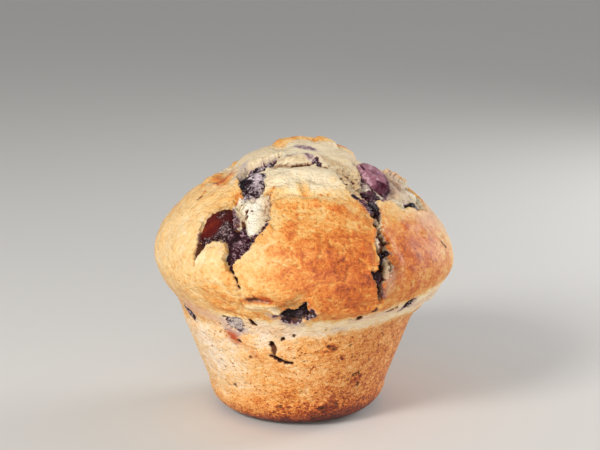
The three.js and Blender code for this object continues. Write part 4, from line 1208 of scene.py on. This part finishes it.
def browningField(skin, bearing, height, rough):
    look = bakeLook
    side = np.sin(np.radians(bearing))
    cap = look["cap"] + look["capToTheRight"] * side
    base = look["base"] + look["baseToTheRight"] * side
    for amount, width in look["foot"]:
        base = base + amount * bump(height, 0, width)
    low, high = (np.interp(bearing, paleBand["bearing"], paleBand[edge]) for edge in ("low", "high"))
    band = look["band"] + look["bandOnLeft"] * between(*look["leftOver"], bearing)
    ragged = height + look["ragged"] * rough
    bake = base + (band - base) * smooth(*(low + step for step in look["softLow"]), ragged)
    bake = bake + (cap - bake) * smooth(*(high + step for step in look["softHigh"]), ragged)
    bake = bake + (crownLook["bake"] - bake) * smooth(*crownLook["bakeOver"], height)
    for b, h, size, amount in browning:
        away = np.linalg.norm(skin - onSkin(b, h), axis=1)
        bake = bake + amount * bump(away, 0, size)
    return bake


def berryFrame(berry):
    right, up, out = skinDirections(*berry["at"])
    centre = onSkin(*berry["at"]) - berry["sink"] * out
    turn = math.radians(-berry["turn"])
    along = up * math.cos(turn) + np.cross(out, up) * math.sin(turn)
    across = right * math.cos(turn) + np.cross(out, right) * math.sin(turn)
    return centre, np.stack([along, across, out])


# rough: broad dents, wrinkle: folds of the skin, flat: how much of the top is pressed level
berryShapes = {
    "dark": {"rough": 0.06, "wrinkle": 0.05, "flat": 0.1, "crown": 0.16},
    "bloomed": {"rough": 0.14, "wrinkle": 0.16, "flat": 0.15, "crown": 0},
    "wine": {"rough": 0.06, "wrinkle": 0.12, "flat": 0.45, "crown": 0},
    "crushed": {"rough": 0.14, "wrinkle": 0.2, "flat": 0.3, "crown": 0},
    "flesh": {"rough": 0.1, "wrinkle": 0.13, "flat": 0.35, "crown": 0},
    "filmed": {"rough": 0.05, "wrinkle": 0.05, "flat": 0.4, "crown": 0},
}

# segments and rings of a berry's mesh, and the half size past which a berry is large
berryMesh = {"large": (160, 110), "small": (72, 48), "largeFrom": 4}


def makeBerry(name, berry, number):
    large = max(berry["half"]) > berryMesh["largeFrom"]
    segments, rings = berryMesh["large" if large else "small"]
    bpy.ops.object.select_all(action="DESELECT")
    bpy.ops.mesh.primitive_uv_sphere_add(segments=segments, ring_count=rings, radius=1, location=(0, 0, 0))
    piece = bpy.context.object
    piece.name = name
    ball = meshPoints(piece)
    form = berryShapes[berry["look"]]
    centre, axes = berryFrame(berry)
    half = np.array(berry["half"])

    # the marks are read where the berry's top would be level with the skin
    level = berry["sink"] - half[2] * (1 - form["flat"])
    flush = centre + ball * half @ axes + level * axes[2]
    fields = {kind: np.zeros(len(ball)) for kind in berryMarks}
    for kind, routes in berryMarks.items():
        for amount, *route in routes:
            edge = 0.8 * widest(route)
            cover = amount * smooth(-edge, edge, insideStroke(flush, route)[0])
            fields[kind] = np.maximum(fields[kind], cover)

    dents = grain(ball, 0.7, 2, 11 + number)
    wrinkles = 1 - np.abs(grain(ball * (1, 1.7, 1) + 0.12 * dents[:, None], 0.3, 2, 40 + number))
    fine = grain(ball, 0.12, 2, 70 + number)
    wet = smooth(-0.25, 0.35, grain(ball, 0.9, 1, 90 + number) - 0.5 * ball[:, 0] + 0.4 * ball[:, 1])
    wet = np.clip(wet + fields["pulp"] - fields["skin"], 0, 1)
    reach = 1 + form["rough"] * dents + form["wrinkle"] * (0.25 + wet) * (wrinkles - 0.8)
    reach += 0.3 * form["wrinkle"] * (0.3 + wet) * fine

    # five petals round the dimple at the crown
    polar = np.arccos(np.clip(ball[:, 2], -1, 1))
    petals = 0.5 + 0.5 * np.cos(5 * np.arctan2(ball[:, 1], ball[:, 0]))
    reach += form["crown"] * (0.18 * petals * bump(polar, 0.62, 0.2) - bump(polar, 0, 0.42))
    shaped = ball * reach[:, None]
    top = shaped[:, 2]
    shaped[:, 2] = np.where(top > 0, top * (1 - form["flat"] * top ** 2), top)
    movePoints(piece, centre + (shaped * half) @ axes)
    film = 0.5 + 0.5 * grain(ball, 0.5, 3, 130 + number) + 0.6 * fields["film"] - 0.6 * fields["dark"]
    keepFields(piece, {"pulp": wet, "film": film, **{kind: fields[kind] for kind in ("dark", "warm", "glintCurls")}})
    bpy.ops.object.shade_smooth()
    return piece


def addPip():
    bpy.ops.mesh.primitive_ico_sphere_add(subdivisions=2, radius=1, location=(0, 0, 0))


def makeBits(name, look):
    chance = random.Random(look["seed"])
    places = []
    for count, sizes, *route in look["beds"]:
        for number in range(count):
            stop = chance.randrange(max(1, len(route) - 1))
            first, last = route[stop], route[min(stop + 1, len(route) - 1)]
            share = chance.random()
            b, h, half = (a + (c - a) * share for a, c in zip(first, last))
            turn, away = chance.uniform(0, 2 * math.pi), half * math.sqrt(chance.random())
            right, up, out = skinDirections(b, h)
            spot = onSkin(b, h) + away * (math.cos(turn) * right + math.sin(turn) * up)
            near = int(np.argmin(((skinTable["skin"] - spot) ** 2).sum(1)))
            size = chance.uniform(*sizes)
            span = size * np.array([chance.uniform(0.55, 1.2) for axis in range(3)]) / 2
            places.append((skinTable["surface"][near], span))
    bpy.ops.object.select_all(action="DESELECT")
    addPip()
    piece = bpy.context.object
    piece.name = name
    bpy.ops.object.mode_set(mode="EDIT")
    for place in places[1:]:
        addPip()
    bpy.ops.object.mode_set(mode="OBJECT")
    ball = meshPoints(piece)
    each = len(ball) // len(places)
    middles, spans = (np.repeat(values, each, axis=0) for values in zip(*places))
    ragged = 1 + 0.55 * grain(ball + 0.37 * middles, 0.8, 2, look["seed"])
    movePoints(piece, middles + ball * ragged[:, None] * spans)
    for kind in ("film", "pulp"):
        keepFields(piece, {kind: np.repeat([chance.uniform(0.2, 1) for place in places], each)})
    bpy.ops.object.shade_smooth()
    return piece


def addNode(tree, kind, **values):
    made = tree.nodes.new(kind)
    for key, value in values.items():
        if hasattr(made, key):
            setattr(made, key, value)
        else:
            made.inputs[key].default_value = value
    return made


# joins a node's output, or sets a plain value or a screen colour
def feed(tree, value, socket):
    if isinstance(value, tuple):
        socket.default_value = paint(*value)
    elif isinstance(value, (int, float)):
        socket.default_value = value
    else:
        tree.links.new(value, socket)


# a colour as seen on a screen, in the renderer's own numbers
def paint(red, green, blue):
    channels = [c / 255 for c in (red, green, blue)]
    linear = [c / 12.92 if c < 0.04045 else ((c + 0.055) / 1.055) ** 2.4 for c in channels]
    return (*linear, 1.0)


def field(tree, name):
    return addNode(tree, "ShaderNodeAttribute", attribute_name=name).outputs["Fac"]


def maths(tree, operation, first, second=0.5, clamp=False):
    made = addNode(tree, "ShaderNodeMath", operation=operation, use_clamp=clamp)
    feed(tree, first, made.inputs[0])
    feed(tree, second, made.inputs[1])
    return made.outputs[0]


# from the span low..high to 0..1
def stretch(tree, value, low, high, bottom=0.0, top=1.0):
    made = addNode(tree, "ShaderNodeMapRange", clamp=True)
    ends = {"Value": value, "From Min": low, "From Max": high, "To Min": bottom, "To Max": top}
    for name, given in ends.items():
        feed(tree, given, made.inputs[name])
    return made.outputs[0]


# a noise made to swing about zero
def swing(tree, source, amount):
    return maths(tree, "MULTIPLY", maths(tree, "SUBTRACT", source, 0.5), amount)


def blendColour(tree, amount, first, second, mode="MIX"):
    made = addNode(tree, "ShaderNodeMix", data_type="RGBA", blend_type=mode)
    for place, value in ((0, amount), (6, first), (7, second)):    # the colour sockets among the node's own
        feed(tree, value, made.inputs[place])
    return made.outputs[2]


# stops of (amount, red, green, blue)
def ramp(tree, amount, stops):
    made = addNode(tree, "ShaderNodeValToRGB")
    while len(made.color_ramp.elements) < len(stops):
        made.color_ramp.elements.new(0.5)
    for element, (position, *colour) in zip(made.color_ramp.elements, stops):
        element.position = position
        element.color = paint(*colour)
    feed(tree, amount, made.inputs[0])
    return made.outputs[0]


def addRelief(tree, shader, relief, strength, distance=0.001):
    bumpNode = addNode(tree, "ShaderNodeBump", Strength=strength, Distance=distance)
    feed(tree, relief, bumpNode.inputs["Height"])
    feed(tree, bumpNode.outputs[0], shader.inputs["Normal"])


# noises at two sizes and pores, shared by the dough and the berries
def makeGrainGroup():
    group = bpy.data.node_groups.new("doughGrain", "ShaderNodeTree")
    for name, value in (("Mottle Size", 2.0), ("Grain Size", 0.5), ("Seed", 0.0)):
        socket = group.interface.new_socket(name, in_out="INPUT", socket_type="NodeSocketFloat")
        socket.default_value = value
    for name in ("Mottle", "Grain", "Pores"):
        group.interface.new_socket(name, in_out="OUTPUT", socket_type="NodeSocketFloat")
    start = group.nodes.new("NodeGroupInput")
    end = group.nodes.new("NodeGroupOutput")
    flattened = addNode(group, "ShaderNodeVectorMath", operation="MULTIPLY")
    flattened.inputs[1].default_value = (1.0, 1.0, 1.25)
    feed(group, addNode(group, "ShaderNodeTexCoord").outputs["Object"], flattened.inputs[0])
    shifted = addNode(group, "ShaderNodeVectorMath", operation="ADD")
    feed(group, flattened.outputs[0], shifted.inputs[0])
    feed(group, start.outputs["Seed"], shifted.inputs[1])
    mottle = addNode(group, "ShaderNodeTexNoise", Detail=3.0, Roughness=0.55)
    grainy = addNode(group, "ShaderNodeTexNoise", Detail=3.0, Roughness=0.6)
    pores = addNode(group, "ShaderNodeTexVoronoi")
    for texture, size, name in ((mottle, "Mottle Size", "Mottle"), (grainy, "Grain Size", "Grain"),
                                (pores, "Mottle Size", "Pores")):
        feed(group, shifted.outputs[0], texture.inputs["Vector"])
        feed(group, maths(group, "DIVIDE", 1 / mm, start.outputs[size]), texture.inputs["Scale"])
        feed(group, texture.outputs["Distance" if name == "Pores" else 0], end.inputs[name])
    return group


grainGroup = makeGrainGroup()


def addGrain(tree, mottleSize, grainSize, seed):
    made = addNode(tree, "ShaderNodeGroup", node_tree=grainGroup)
    for name, value in (("Mottle Size", mottleSize), ("Grain Size", grainSize), ("Seed", seed)):
        made.inputs[name].default_value = value
    return made.outputs["Mottle"], made.outputs["Grain"], made.outputs["Pores"]


# plain: values that are the same all over the surface
def startMaterial(name, plain):
    material = bpy.data.materials.new(name)
    material.use_nodes = True
    shader = material.node_tree.nodes["Principled BSDF"]
    for socket, value in plain.items():
        shader.inputs[socket].default_value = value
    return material, material.node_tree, shader


def arithmetic(tree):
    return [partial(maths, tree, operation) for operation in ("ADD", "SUBTRACT", "MULTIPLY")]


# colours as seen on a screen; a ramp has stops of (amount, red, green, blue)
doughLook = {
    "crust": [(0, 250, 229, 192), (0.16, 246, 208, 149), (0.3, 241, 194, 128), (0.42, 236, 174, 95),
              (0.54, 229, 147, 69), (0.66, 219, 124, 50), (0.76, 206, 105, 42), (0.9, 186, 88, 38),
              (1, 146, 66, 32)],
    "base": [(0, 255, 232, 206), (0.2, 252, 206, 148), (0.38, 242, 172, 96), (0.52, 228, 142, 64),
             (0.66, 196, 98, 42), (0.8, 148, 56, 26), (1, 80, 26, 18)],
    "crumb": [(0, 140, 108, 76), (0.25, 186, 157, 122), (0.5, 219, 200, 164), (0.8, 234, 224, 201),
              (1, 245, 238, 222)],
    # painted shade of cracks, holes and pores, warm brown to near black
    "hollowShade": [(0, 176, 122, 76), (0.45, 108, 62, 38), (0.8, 48, 22, 16), (1, 22, 10, 10)],
    "juice": [(0, 216, 194, 186), (0.25, 164, 134, 140), (0.45, 112, 64, 82), (0.7, 62, 20, 34), (1, 24, 8, 14)],
    "yellow": (255, 242, 196),
    "speck": (92, 60, 42),
    "shade": (150, 130, 112),
    "lilac": (176, 160, 170),
    "pink": (226, 184, 160),
    "red": (186, 70, 28),
    "noises": [(4.5, 1.5, 0.0), (0.95, 0.4, 3.7), (11.0, 4.0, 6.4)],        # mottle size, grain size, seed
    "browning": [(0.76, 0.62), (0.62, 0.48), (0.45, 0.66), (0.34, 0.95)],   # swing of each noise on cap and base
    "relief": [(1.1, 0.5), (0.5, 0.5), (0.18, 0.35)],
    "broadRelief": 1.3,
    "heat": (0.2, 0.6, 0.65, 1.2),          # the swing is wider where the crust is browner
    "freckles": 0.38, "freckleDots": (0.34, 0.14), "freckleGrain": (0.5, 0.62), "freckleShare": (0.35, 1.0),
    "yellowOver": (0.5, 0.68), "yellowShare": (0.25, 0.6),
    "toneSwing": (0.7, 0.5), "tornSwing": 0.7, "tornOver": (0.3, 0.6),
    "softSwing": 0.5, "softOver": (0.05, 0.85, 0.0, 0.85),
    "speckDots": (0.42, 0.2), "speckGrain": (0.45, 0.6), "patchyOver": (0.3, 0.6, 0.4, 1.0),
    "blotch": (1.5, 0.9, 0.2), "stainOver": (0.02, 0.5),
    # spread of the painted shade in cracks, holes and pores
    "darkSwing": 0.4, "darkOver": (0.08, 0.8), "darkCover": (0.0, 0.4),
    "roughness": (0.3, 0.7, 0.44, 0.6), "tornRougher": 0.2, "juiceSmoother": 0.25,
    "freckleDepth": 0.5, "speckDepth": 0.9, "softRelief": (0.2, 0.8, 1.0, 0.55),
    "coat": (0.0, 0.6, 0.45, 0.0),          # gloss, which fades out in the dark of the cracks
    "plain": {
        "Coat Roughness": 0.5, "Specular IOR Level": 0.12,
        "Subsurface Weight": 0.05, "Subsurface Radius": (1.0, 0.5, 0.25), "Subsurface Scale": 0.0012,
    },
}


def makeDoughMaterial():
    look = doughLook
    material, tree, shader = startMaterial("bakedDough", look["plain"])
    add, subtract, multiply = arithmetic(tree)
    mottle, grainy = addGrain(tree, *look["noises"][0])[:2]
    small, tiny, dots = addGrain(tree, *look["noises"][1])
    broad = addGrain(tree, *look["noises"][2])[0]
    onBase = field(tree, "base")

    # browning swings round the given amount
    bake = field(tree, "bake")
    heat = stretch(tree, bake, *look["heat"])
    for source, (cap, base) in zip((mottle, grainy, small, tiny), look["browning"]):
        bake = add(bake, multiply(swing(tree, source, stretch(tree, onBase, 0, 1, cap, base)), heat))
    freckles = multiply(stretch(tree, dots, *look["freckleDots"]), stretch(tree, grainy, *look["freckleGrain"]))
    freckles = multiply(freckles, stretch(tree, onBase, 0, 1, *look["freckleShare"]))
    bake = add(bake, multiply(freckles, look["freckles"]))
    crust = blendColour(tree, onBase, ramp(tree, bake, look["crust"]), ramp(tree, bake, look["base"]))
    yellow = stretch(tree, broad, *look["yellowOver"])
    yellow = multiply(yellow, stretch(tree, onBase, 0, 1, *look["yellowShare"]))
    crust = blendColour(tree, yellow, crust, look["yellow"], "MULTIPLY")

    # torn crumb and soft dough
    tone = field(tree, "tone")
    for source, amount in zip((grainy, tiny), look["toneSwing"]):
        tone = add(tone, swing(tree, source, amount))
    torn = stretch(tree, add(field(tree, "crumb"), swing(tree, tiny, look["tornSwing"])), *look["tornOver"])
    soft = stretch(tree, add(field(tree, "dough"), swing(tree, small, look["softSwing"])), *look["softOver"])
    colour = blendColour(tree, maths(tree, "MAXIMUM", torn, soft), crust, ramp(tree, tone, look["crumb"]))
    specks = multiply(stretch(tree, dots, *look["speckDots"]), stretch(tree, small, *look["speckGrain"]))
    specks = multiply(specks, field(tree, "speck"))
    colour = blendColour(tree, specks, colour, look["speck"])
    colour = blendColour(tree, field(tree, "shade"), colour, look["shade"], "MULTIPLY")
    for kind in ("lilac", "pink"):
        patchy = multiply(field(tree, kind), stretch(tree, small, *look["patchyOver"]))
        colour = blendColour(tree, patchy, colour, look[kind])
    colour = blendColour(tree, field(tree, "red"), colour, look["red"])

    # juice soaked in, then the painted shade of cracks, holes and pores
    smallShare, tinyShare, taken = look["blotch"]
    blotch = add(multiply(small, smallShare), multiply(tiny, tinyShare))
    stain = multiply(field(tree, "juice"), subtract(blotch, taken))
    cover = stretch(tree, stain, *look["stainOver"])
    colour = blendColour(tree, cover, colour, ramp(tree, stain, look["juice"]))
    dark = stretch(tree, add(field(tree, "hollowShade"), swing(tree, tiny, look["darkSwing"])), *look["darkOver"])
    colour = blendColour(tree, stretch(tree, dark, *look["darkCover"]), colour, ramp(tree, dark, look["hollowShade"]))
    feed(tree, colour, shader.inputs["Base Color"])
    feed(tree, stretch(tree, dark, *look["coat"]), shader.inputs["Coat Weight"])
    rough = add(stretch(tree, small, *look["roughness"]), multiply(torn, look["tornRougher"]))
    feed(tree, subtract(rough, multiply(cover, look["juiceSmoother"])), shader.inputs["Roughness"])

    relief = multiply(mottle, look["broadRelief"])
    for source, (cap, base) in zip((grainy, small, tiny), look["relief"]):
        relief = add(relief, multiply(source, stretch(tree, onBase, 0, 1, cap, base)))
    relief = subtract(relief, multiply(freckles, look["freckleDepth"]))
    relief = subtract(relief, multiply(specks, look["speckDepth"]))
    relief = multiply(relief, stretch(tree, field(tree, "dough"), *look["softRelief"]))
    addRelief(tree, shader, relief, 1.0)
    return material


def makeCrumbMaterial():
    material, tree, shader = startMaterial("looseCrumb", {"Roughness": 0.75, "Specular IOR Level": 0.2})
    mottle, grainy = addGrain(tree, 2.5, 0.8, 1.9)[:2]
    tone = maths(tree, "ADD", stretch(tree, mottle, 0.35, 0.65, 0.1, 0.75), swing(tree, grainy, 0.4))
    feed(tree, ramp(tree, tone, doughLook["crumb"]), shader.inputs["Base Color"])
    addRelief(tree, shader, grainy, 0.6, 0.0005)
    return material


# skin, the pulp where it burst, the film of bloom and how much of it there is; the bloom colour also colours the
# painted glints
berryLooks = {
    "dark": {
        "skin": (24, 12, 16), "pulp": (36, 12, 20), "bloom": (120, 100, 110), "deep": (10, 5, 8),
        "film": 0.2, "roughness": 0.3, "coat": 0.06, "relief": 0.9,
    },
    "bloomed": {
        "skin": (34, 14, 22), "warm": (70, 16, 34), "pulp": (54, 22, 34), "bloom": (234, 214, 222),
        "deep": (18, 8, 14), "film": 0.55, "roughness": 0.34, "coat": 0.1, "relief": 1.0,
    },
    "wine": {
        "skin": (98, 16, 14), "warm": (204, 76, 34), "pulp": (44, 12, 18), "bloom": (214, 180, 182),
        "deep": (66, 10, 12), "film": 0.02, "roughness": 0.4, "coat": 0.04, "relief": 1.0,
    },
    "crushed": {
        "skin": (36, 10, 16), "warm": (104, 36, 60), "pulp": (64, 18, 34), "bloom": (196, 160, 172),
        "deep": (16, 6, 10), "film": 0.2, "roughness": 0.3, "coat": 0.1, "relief": 1.0,
    },
    "flesh": {
        "skin": (186, 126, 142), "pulp": (112, 46, 72), "bloom": (204, 160, 172), "deep": (52, 14, 28),
        "film": 0.46, "fleck": 1.5, "paintedGlints": 0.6, "roughness": 0.55, "coat": 0, "relief": 1.1,
    },
    "filmed": {
        "skin": (232, 214, 204), "pulp": (212, 194, 190), "bloom": (74, 58, 68), "deep": (60, 42, 52),
        "film": 0.48, "fleck": 0.6, "roughness": 0.6, "coat": 0, "relief": 0.8,
    },
}


# what the berries' finishes share; spans are of a noise or of the distance from a vein. The thin bright lines
# along the veins are painted glints of wet pulp
berryFinish = {
    "noises": [(2.2, 0.9, 8.1), (1.2, 0.4, 5.3)],
    "plain": {"Specular IOR Level": 0.12, "Coat Roughness": 0.14},
    "glow": 0.4, "glowOver": (0.35, 0.65),
    "pulpSwing": 1.2, "filmSwing": 2.0, "filmSoftness": 0.2, "filmVeins": (0.0, 0.06), "filmRoughness": 0.7,
    "paintedGlints": (0.07, 0.02), "glintGrain": (0.48, 0.58), "glintPulp": (0.35, 0.9), "glintShare": 0.9,
    "glintCurls": (0.12, 0.05), "glintCurlGrain": (0.4, 0.52),
    "darkSwing": 0.8, "darkOver": (0.3, 0.8),
    "veinDepth": -3.5, "tinyRelief": 0.9, "grainRelief": 0.8, "skinRelief": 0.3,
}


def makeBerryMaterial(name, look):
    finish = berryFinish
    material, tree, shader = startMaterial(name + "Berry", {**finish["plain"], "Coat Weight": look["coat"]})
    add, subtract, multiply = arithmetic(tree)
    grainy = addGrain(tree, *finish["noises"][0])[1]
    fleck, *others = finish["noises"][1]
    small, tiny = addGrain(tree, look.get("fleck", fleck), *others)[:2]
    pulp = add(field(tree, "pulp"), swing(tree, grainy, finish["pulpSwing"]), True)
    veins = maths(tree, "ABSOLUTE", subtract(small, 0.5))

    glow = blendColour(tree, stretch(tree, grainy, *finish["glowOver"]), look["deep"], look["skin"])
    glow = blendColour(tree, finish["glow"], look["skin"], glow)
    glow = blendColour(tree, field(tree, "warm"), glow, look.get("warm", look["skin"]))
    colour = blendColour(tree, pulp, glow, look["pulp"])
    film = add(field(tree, "film"), swing(tree, small, finish["filmSwing"]))
    film = stretch(tree, film, 1 - look["film"], 1 + finish["filmSoftness"] - look["film"])
    film = multiply(film, stretch(tree, veins, *finish["filmVeins"]))
    colour = blendColour(tree, film, colour, look["bloom"])
    # painted glints: thin bright lines on the wet pulp, and curls of them where the skin is marked
    paintedGlints = multiply(stretch(tree, veins, *finish["paintedGlints"]), stretch(tree, grainy, *finish["glintGrain"]))
    share = look.get("paintedGlints", finish["glintShare"])
    paintedGlints = multiply(paintedGlints, stretch(tree, pulp, *finish["glintPulp"], 0.0, share))
    curledGlints = multiply(stretch(tree, veins, *finish["glintCurls"]), stretch(tree, grainy, *finish["glintCurlGrain"]))
    paintedGlints = maths(tree, "MAXIMUM", paintedGlints, multiply(curledGlints, field(tree, "glintCurls")))
    colour = blendColour(tree, paintedGlints, colour, look["bloom"])
    darker = add(field(tree, "dark"), swing(tree, tiny, finish["darkSwing"]))
    colour = blendColour(tree, stretch(tree, darker, *finish["darkOver"]), colour, look["deep"])
    feed(tree, colour, shader.inputs["Base Color"])
    feed(tree, stretch(tree, film, 0, 1, look["roughness"], finish["filmRoughness"]), shader.inputs["Roughness"])

    relief = add(multiply(veins, finish["veinDepth"]), multiply(tiny, finish["tinyRelief"]))
    relief = multiply(relief, stretch(tree, pulp, 0, 1, finish["skinRelief"], 1))
    addRelief(tree, shader, add(relief, multiply(grainy, finish["grainRelief"])), look["relief"])
    return material


def wear(piece, material):
    piece.data.materials.clear()
    piece.data.materials.append(material)


crumbMaterial = makeCrumbMaterial()
berryMaterials = {name: makeBerryMaterial(name, look) for name, look in berryLooks.items()}

muffin = makeBody()
wear(muffin, makeDoughMaterial())
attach(muffin, "root")
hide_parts("muffin_body")
print("stage: body")

for number, (name, berry) in enumerate({**berries, **berryScraps}.items()):
    piece = makeBerry(name.replace("berry_", "blueberry_") if name in berries else name, berry, number)
    wear(piece, berryMaterials[berry["look"]])
    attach(piece, "root")
    if name in berries:
        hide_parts(name)
print("stage: berries")

for name, look in bits.items():
    isCrumb = look["look"] == "crumb"
    piece = makeBits(name, look)
    wear(piece, crumbMaterial if isCrumb else berryMaterials[look["look"]])
    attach(piece, "root")
print("stage: bits")


# metres; a light has its place, size, power and colour
studio = {
    "floorSize": 12.0,
    "floorColour": (214, 212, 209),
    "worldColour": (240, 240, 240),
    "worldStrength": 0.45,
    "lights": {
        "keyLight": ((-0.5, -0.55, 0.5), 0.25, 5.5, (1.0, 0.975, 0.93)),
        "fillLight": ((0.14, -0.8, 0.05), 0.5, 3.3, (1.0, 0.985, 0.96)),
        "rimLight": ((0.55, 0.3, 0.22), 0.3, 2.6, (1.0, 1.0, 1.0)),
    },
    "lightAim": (0, 0, 0.045),
    "camera": (-0.00098, -0.41, 0.143),
    "cameraAim": (-0.00098, 0, 0.056),
    "lens": 83,
}


def makeFloor():
    bpy.ops.object.select_all(action="DESELECT")
    bpy.ops.mesh.primitive_plane_add(size=studio["floorSize"], location=(0, 0, 0))
    floor = bpy.context.object
    floor.name = "floor"
    material, tree, shader = startMaterial("paleFloor", {"Roughness": 0.8})
    feed(tree, studio["floorColour"], shader.inputs["Base Color"])
    wear(floor, material)


def pointAt(thing, place, aim):
    thing.rotation_mode = "QUATERNION"
    thing.rotation_quaternion = (Vector(aim) - Vector(place)).to_track_quat("-Z", "Y")


def makeLights():
    for name, (place, size, power, colour) in studio["lights"].items():
        bpy.ops.object.light_add(type="AREA", location=place)
        light = bpy.context.object
        light.name = name
        light.data.size = size
        light.data.energy = power
        light.data.color = colour
        pointAt(light, place, studio["lightAim"])
    world = bpy.data.worlds.new("studio")
    world.use_nodes = True
    background = world.node_tree.nodes["Background"]
    background.inputs["Color"].default_value = paint(*studio["worldColour"])
    background.inputs["Strength"].default_value = studio["worldStrength"]
    bpy.context.scene.world = world


def makeCamera():
    bpy.ops.object.camera_add(location=studio["camera"])
    camera = bpy.context.object
    camera.name = "camera"
    camera.data.lens = studio["lens"]
    camera.data.sensor_width = 36
    camera.data.clip_start = 0.01
    pointAt(camera, studio["camera"], studio["cameraAim"])
    bpy.context.scene.camera = camera


makeFloor()
makeLights()
makeCamera()
bpy.context.scene.view_settings.view_transform = "Standard"
print("stage: studio")
